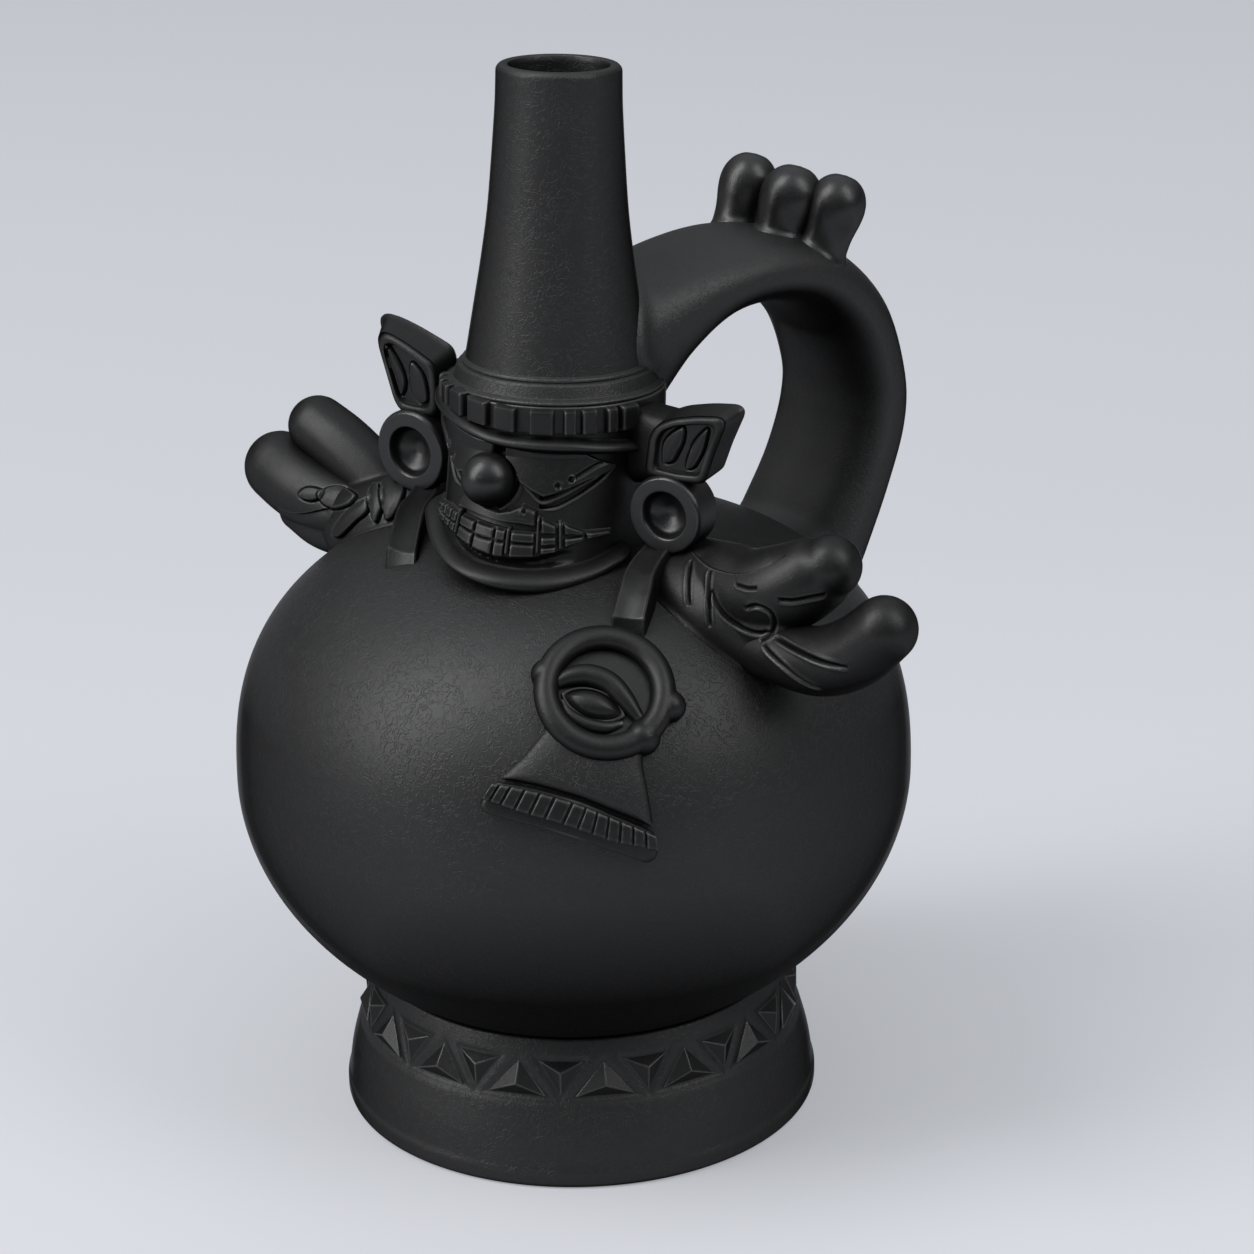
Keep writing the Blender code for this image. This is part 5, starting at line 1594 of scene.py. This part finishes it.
# %% [markdown]
# ## Wings
# A wing is a lump of clay on the shoulder with two fat lobes drawn out of it, curling up at their ends.
# The root and the upper lobe grow out of each other like a hand, so they are melted into one skin with
# a voxel remesh, and the lower lobe comes out from behind.

# %% Wing bodies
# Each knot of a lobe: its place and its radius.
HAND_LOBES = {
    "left": (((46.0, -4.0, 131.5, 6.8), (56.0, -4.0, 138.4, 7.1), (65.0, -4.0, 143.4, 7.3),
              (72.8, -4.0, 146.8, 7.1)),
             ((44.0, -8.0, 131.0, 7.5), (56.0, -9.0, 129.6, 7.0), (64.0, -9.5, 129.0, 4.5))),
    "right": (((40.0, -4.0, 135.5, 7.5), (50.0, -6.0, 135.4, 8.8), (58.0, -7.0, 135.4, 9.4),
               (66.0, -6.5, 138.3, 9.3), (72.0, -4.8, 142.0, 8.2), (75.0, -4.2, 144.2, 6.8)),
              ((50.0, -9.0, 130.2, 6.6), (59.0, -9.8, 129.6, 6.4), (65.5, -9.3, 130.8, 5.4)))}
LOWER_LOBES = {
    "left": (((52.0, -8.0, 129.0, 7.5), (64.0, -9.0, 131.0, 8.2), (74.0, -9.0, 133.4, 8.6),
              (82.0, -8.0, 136.0, 8.5)),
             ((54.0, -10.0, 124.5, 5.5), (66.0, -10.5, 125.0, 5.2), (75.5, -9.6, 126.5, 4.2))),
    "right": (((56.0, -9.0, 124.6, 6.2), (67.0, -10.0, 124.8, 6.8), (77.0, -10.0, 125.4, 7.4),
               (85.0, -9.0, 129.0, 7.6), (91.6, -8.0, 135.2, 7.1)),)}
ROOT_SIZE = (25.0, 14.0, 13.5)
ROOT_AT = (48.0, -6.5, 129.0)
ROOT_TURN = math.radians(14.0)


def lobe(knots, side):
    """A fat round-ended tube through knots of place and radius."""
    line = smooth_line(np.array(knots) * (side, 1.0, 1.0, 1.0), 10)
    return tube(*round_end(line[:, :3], line[:, 3]), 48)


def root_body(side):
    """A block rounded by subdivision, turned down towards its outer end."""
    corners = [(x, y, z) for x in (-1, 1) for y in (-1, 1) for z in (-1, 1)]
    faces = [(0, 1, 3, 2), (4, 6, 7, 5), (0, 4, 5, 1), (2, 3, 7, 6), (0, 2, 6, 4), (1, 5, 7, 3)]
    mesh = metre_mesh("root", (np.array(corners, float) * ROOT_SIZE, faces))
    body = bake_object("root", mesh, (("SUBSURF", {"levels": 4}),))
    spot = at(side * ROOT_AT[0], ROOT_AT[1], ROOT_AT[2])
    return moved(body, spot @ Matrix.Rotation(side * ROOT_TURN, 4, "Y"))


# %% [markdown]
# The wings are carved with a few lines and, on the left one, with raised leaves. Bump would be quicker,
# but cut into the skin they are part of the mesh itself. Each line is given by the points it runs
# through in the view, and is dropped from there onto the wing.

# %% Wing carving
# Each row is the kind of line, its points in the view, its width and its depth.
WING_LINES = {
    "right": ((cut, ((691, 551), (704, 564), (716, 570), (739, 574), (763, 568), (786, 556)), 5.0, -0.7),
              (seam, ((691, 560), (688, 585), (689, 606)), 0.4, -0.7),
              (seam, ((710, 570), (709, 598), (710, 627)), 0.4, -0.8),
              (seam, ((711, 590), (722, 612), (739, 626), (756, 633), (771, 632)), 0.42, -0.8),
              (seam, ((744, 609), (756, 606), (770, 612), (775, 623), (770, 635),
                      (760, 641)), 0.4, -0.65),
              (seam, ((735, 584), (747, 588), (757, 588)), 0.35, -0.4),
              (seam, ((777, 600), (793, 601), (810, 598), (826, 595)), 0.42, -0.7),
              (seam, ((775, 637), (795, 649), (822, 662), (848, 668)), 0.42, -0.8),
              (seam, ((763, 645), (781, 664), (801, 680), (822, 689)), 0.42, -0.7)),
    "left": ((cut, ((274, 506), (291, 513), (305, 513), (322, 509), (333, 506)), -2.6, -0.8),)}
LEAVES = {
    "left": (((299, 494), (306, 488), (316, 488), (324, 492), (322, 498), (312, 501), (303, 499)),
             ((322, 492), (332, 487), (343, 487), (353, 492), (357, 497), (350, 505), (338, 509),
              (326, 506), (320, 499)),
             ((372, 498), (361, 501), (350, 508), (342, 517), (334, 529), (333, 536), (341, 537),
              (349, 530), (358, 521), (368, 512)),
             ((372, 486), (379, 484), (384, 493), (384, 505), (379, 519), (375, 522), (371, 512),
              (369, 498)),
             ((383, 482), (392, 479), (401, 481), (405, 491), (401, 505), (394, 517), (387, 520),
              (383, 508), (381, 494)))}
LEAF_VEINS = {
    "left": (((327, 500), (335, 496),
              (342, 497)), ((366, 502), (352, 514), (340, 530)), ((377, 489), (378, 503), (376, 516)))}
LEAF_HEIGHT = 1.0
VEIN = (0.5, -0.4)                # width and depth


def carving(bodies, word):
    """Relief for all lines and leaves of a wing, each laid on whichever body it is seen on."""
    tree = tree_of(join(bodies))
    made = []
    for outline in LEAVES.get(word, ()):
        spots = seen(outline, tree)
        if len(spots) == len(outline):
            made.append(pad(spots, LEAF_HEIGHT))
    rows = list(WING_LINES[word]) + [(stroke, line, *VEIN) for line in LEAF_VEINS.get(word, ())]
    for kind, line, width, depth in rows:
        spots = seen(line, tree)
        if len(spots) > 1:
            made.append(kind(spots, width, depth))
    return made


# %% Wings
WING_VOXEL = 0.38
WING_SOFTEN = 14
WING_FILLET = 1.4
for side, word in SIDES:
    lobes = [lobe(knot, side) for knot in HAND_LOBES[word]]
    hand = fuse([root_body(side)] + lobes, WING_VOXEL, WING_SOFTEN)
    lower = fuse([lobe(knot, side) for knot in LOWER_LOBES[word]], WING_VOXEL, WING_SOFTEN)
    lines = carving([hand, lower], word)
    piece("wing_" + word, hand, "carved_clay", ["wing_root_" + word, "wing_upper_" + word],
          [fillet(globe_gap, WING_FILLET)] + lines)
    piece("wing_lower_" + word, lower, "carved_clay", ["wing_lower_" + word], lines)

# %% [markdown]
# ## Medallion
# The medallion on the shoulder is built in a plane that touches the globe, and each of its parts is
# dropped onto the globe along that plane's normal: a rope ring with three lugs, a dished disc with a
# lidded eye, and below it a bell with a ribbed hem.


# %% Spot on the globe
def on_globe(az, z, roll=0.0):
    """A frame on the globe's upper half, at an angle from the front and a height."""
    share = (z - GLOBE_MID) / GLOBE_RISE[True]
    power = GLOBE_POWER[True]
    r = GLOBE_RADIUS * (1.0 - share ** power) ** (1.0 / power)
    out = (r / GLOBE_RADIUS) ** (power - 1.0) / GLOBE_RADIUS
    rise = share ** (power - 1.0) / GLOBE_RISE[True]
    x, y = math.sin(az), -math.cos(az)
    return facing((r * x, r * y, z), (out * x, out * y, rise), roll)


SPOT = on_globe(math.radians(47.0), 121.0, math.radians(-16.0))
SPOT_TURN = np.array(SPOT.to_3x3())


def on_medal(flat, height):
    """Points of the medallion's plane dropped onto the globe and lifted off it by a height."""
    flat = np.asarray(flat, float)
    base = flat[..., :1] * SPOT_TURN[:, 0] + flat[..., 1:2] * SPOT_TURN[:, 1] + np.array(SPOT.translation)
    out = SPOT_TURN[:, 2]
    low = np.full(base.shape[:-1], -60.0)
    high = np.full(base.shape[:-1], 12.0)
    for _ in range(40):
        mid = 0.5 * (low + high)
        points = (base + mid[..., None] * out).reshape(-1, 3)
        inside = globe_level(points).reshape(mid.shape) < 1.0
        low = np.where(inside, mid, low)
        high = np.where(inside, high, mid)
    skin = base + low[..., None] * out
    up = globe_normal(skin.reshape(-1, 3)).reshape(skin.shape)
    return skin + up * np.asarray(height, float)[..., None]


def globe_normal(points):
    """Outward directions, from the slope of the globe's level."""
    made = np.zeros_like(points)
    for k in range(3):
        step = np.zeros(3)
        step[k] = 0.05
        made[:, k] = globe_level(points + step) - globe_level(points - step)
    return unit(made)


def medal_plate(outline, rings, count=220, fill=10, centre=None, corner=None):
    """An outline plate on the globe: rings are (share towards the centre, height)."""
    line = loop_points(outline, count, corner)
    centre = line.mean(0) if centre is None else np.array(centre)
    rows = []
    last = rings[-1]
    for share, height in list(rings) + [(s, last[1]) for s in np.linspace(last[0], 0.99, fill)[1:]]:
        rows.append(on_medal(line + (centre - line) * share, np.full(count, height)))
    return skin_rows(rows)


# %% Ring, disc and eye
RING_RADIUS = 11.9
RING_CORD = 2.55
# Each lug: its angle, its distance from the medallion's middle and its radius.
LUGS = ((173.0, 12.4, 3.3), (0.0, 13.7, 3.3), (-40.0, 12.2, 3.7))
RING_RISE = 2.0
RING_VOXEL = 0.3
RING_SOFTEN = 4
RING_FILLET = 0.7
LUG_RISE = 1.2
DISC_RADIUS = 9.7
a = round_angles(160)
b = round_angles(36)
flat = (RING_RADIUS + RING_CORD * np.cos(b))[None, :, None] * np.stack([np.cos(a), np.sin(a)], 1)[:, None]
rope = on_medal(flat, np.broadcast_to(RING_RISE + RING_CORD * np.sin(b), flat.shape[:2]))
rope = skin_rows(np.concatenate([rope, rope[:1]]), ends=False)
lugs = []
for deg, reach, size in LUGS:
    way = np.array((math.cos(math.radians(deg)), math.sin(math.radians(deg))))
    spot = on_medal(reach * way, LUG_RISE)
    lugs.append(moved(turned(ball_line(size, 24), 40), Matrix.Translation(spot)))
ring = fuse([rope] + lugs, RING_VOXEL, RING_SOFTEN)
piece("medallion_ring", ring, "carved_clay", ["medallion_ring"], [fillet(globe_gap, RING_FILLET)])

circle = [(DISC_RADIUS * math.cos(t), DISC_RADIUS * math.sin(t)) for t in round_angles(24)]
disc = medal_plate(circle, ((0.0, -1.5), (0.0, 0.9), (0.04, 0.95), (0.3, 0.45), (0.5, 0.35)))
piece("medallion_disc", disc, "carved_clay", ["medallion_disc"])

LID_KNOTS = ((-9.4, 0.2, 1.5), (-7.2, 1.7, 2.1), (-3.8, 2.7, 2.35), (0.4, 1.9, 2.35), (4.0, -0.7, 2.1),
             (7.6, -4.0, 1.3))
line = smooth_line(LID_KNOTS, 8)
path = on_medal(line[:, :2], np.full(len(line), 1.4))
path, wide = round_end(path, line[:, 2])
back_path, back_wide = round_end(path[::-1][len(path) - len(line):], wide[::-1][len(wide) - len(line):])
path = np.concatenate([back_path[len(line):][::-1], path])
wide = np.concatenate([back_wide[len(line):][::-1], wide])
piece("medallion_lid", tube(path, wide, 28), "carved_clay", ["medallion_lid"])

EYE_SPOT = (-1.8, -3.4)
EYE_ROLL = math.radians(-9.0)
EYE_SIZE = (7.0, 3.4)


def almond(size, count=24):
    """Outline of the medallion's eye."""
    made = []
    for t in round_angles(count):
        x, y = size[0] * math.cos(t), size[1] * math.sin(t) * abs(math.sin(t)) ** 0.35
        made.append((EYE_SPOT[0] + x * math.cos(EYE_ROLL) - y * math.sin(EYE_ROLL),
                     EYE_SPOT[1] + x * math.sin(EYE_ROLL) + y * math.cos(EYE_ROLL)))
    return made


EYE_RINGS = ((0.0, -0.5), (0.0, 0.9), (0.03, 1.35), (0.07, 1.5), (0.14, 1.45), (0.18, 1.1), (0.21, 1.2),
             (0.3, 1.9), (0.45, 2.5), (0.65, 2.9), (0.9, 3.1))
eye = [medal_plate(almond(EYE_SIZE), EYE_RINGS)]
CRESCENT = ((-8.2, -3.6, 0.5), (-6.0, -6.2, 1.2), (-2.6, -7.6, 1.5), (1.4, -7.6, 1.4), (4.8, -6.0, 0.6))
line = smooth_line(CRESCENT, 8)
eye.append(tube(on_medal(line[:, :2], np.full(len(line), 0.9)), line[:, 2], 24))
piece("medallion_eye", join(eye), "carved_clay", ["medallion_eye"])

# %% Bell and ribbed hem
BELL = ((-9.7, -9.0), (0.0, -11.5), (9.6, -9.0), (10.4, -13.0), (12.8, -18.3), (15.0, -23.4),
        (6.3, -22.6), (-0.5, -21.7), (-10.0, -20.9), (-17.8, -20.6), (-13.6, -15.9))
HEM = ((-18.4, -21.1), (-10.0, -21.4), (-0.5, -22.2), (6.3, -23.1), (15.4, -24.0), (16.7, -27.4),
       (15.1, -29.2), (7.0, -28.9), (-2.3, -28.2), (-12.0, -27.4), (-19.4, -26.6), (-20.6, -25.4))
RIB_SHARES = (0.05, 0.115, 0.2, 0.285, 0.365, 0.46, 0.545, 0.63, 0.715, 0.79, 0.86, 0.93)
BELL_RINGS = ((0.025, -1.5), (0.025, 0.1), (0.0, 0.8), (0.02, 1.4), (0.06, 1.9), (0.15, 2.3), (0.4, 2.6))
HEM_RINGS = ((0.025, -1.5), (0.025, 0.3), (0.0, 1.0), (0.0, 1.9), (0.02, 2.4), (0.05, 2.7), (0.08, 2.75))
RIB_RINGS = ((0.0, 2.2), (0.0, 3.3), (0.03, 3.55), (0.1, 3.7), (0.3, 3.8))
RIB_GAP = 0.006
RIB_REACH = (0.08, 0.72)
bell = medal_plate(BELL, BELL_RINGS, 260, 8, (-1.0, -17.4), 1.0)
piece("medallion_bell", bell, "carved_clay", ["medallion_bell"], finish="burnished_clay")
hem = [medal_plate(HEM, HEM_RINGS, 320, 10, (-1.5, -25.2), 1.0)]
top = np.array(HEM[:5])
foot = np.array((HEM[11], HEM[9], HEM[8], HEM[7], HEM[5]))


def hem_spot(share, down):
    """A spot on the hem, by shares of its length and of its height."""
    at_knots = np.linspace(0, 1, 5)
    upper = np.array([np.interp(share, at_knots, row) for row in top.T])
    lower = np.array([np.interp(share, at_knots, row) for row in foot.T])
    return upper + (lower - upper) * down


for start, end in zip((0.0,) + RIB_SHARES, RIB_SHARES + (1.0,)):
    start, end = start + RIB_GAP, end - RIB_GAP
    high, low = RIB_REACH
    quad = [hem_spot(start, high), hem_spot(end, high), hem_spot(end, low), hem_spot(start, low)]
    hem.append(medal_plate(quad, RIB_RINGS, 56, 6, None, 0.3))
piece("medallion_hem", join(hem), "carved_clay", ["medallion_hem"])

# %% [markdown]
# ## Finish
# The view layer is brought up to date after the last piece.

# %% Finish
bpy.context.view_layer.update()
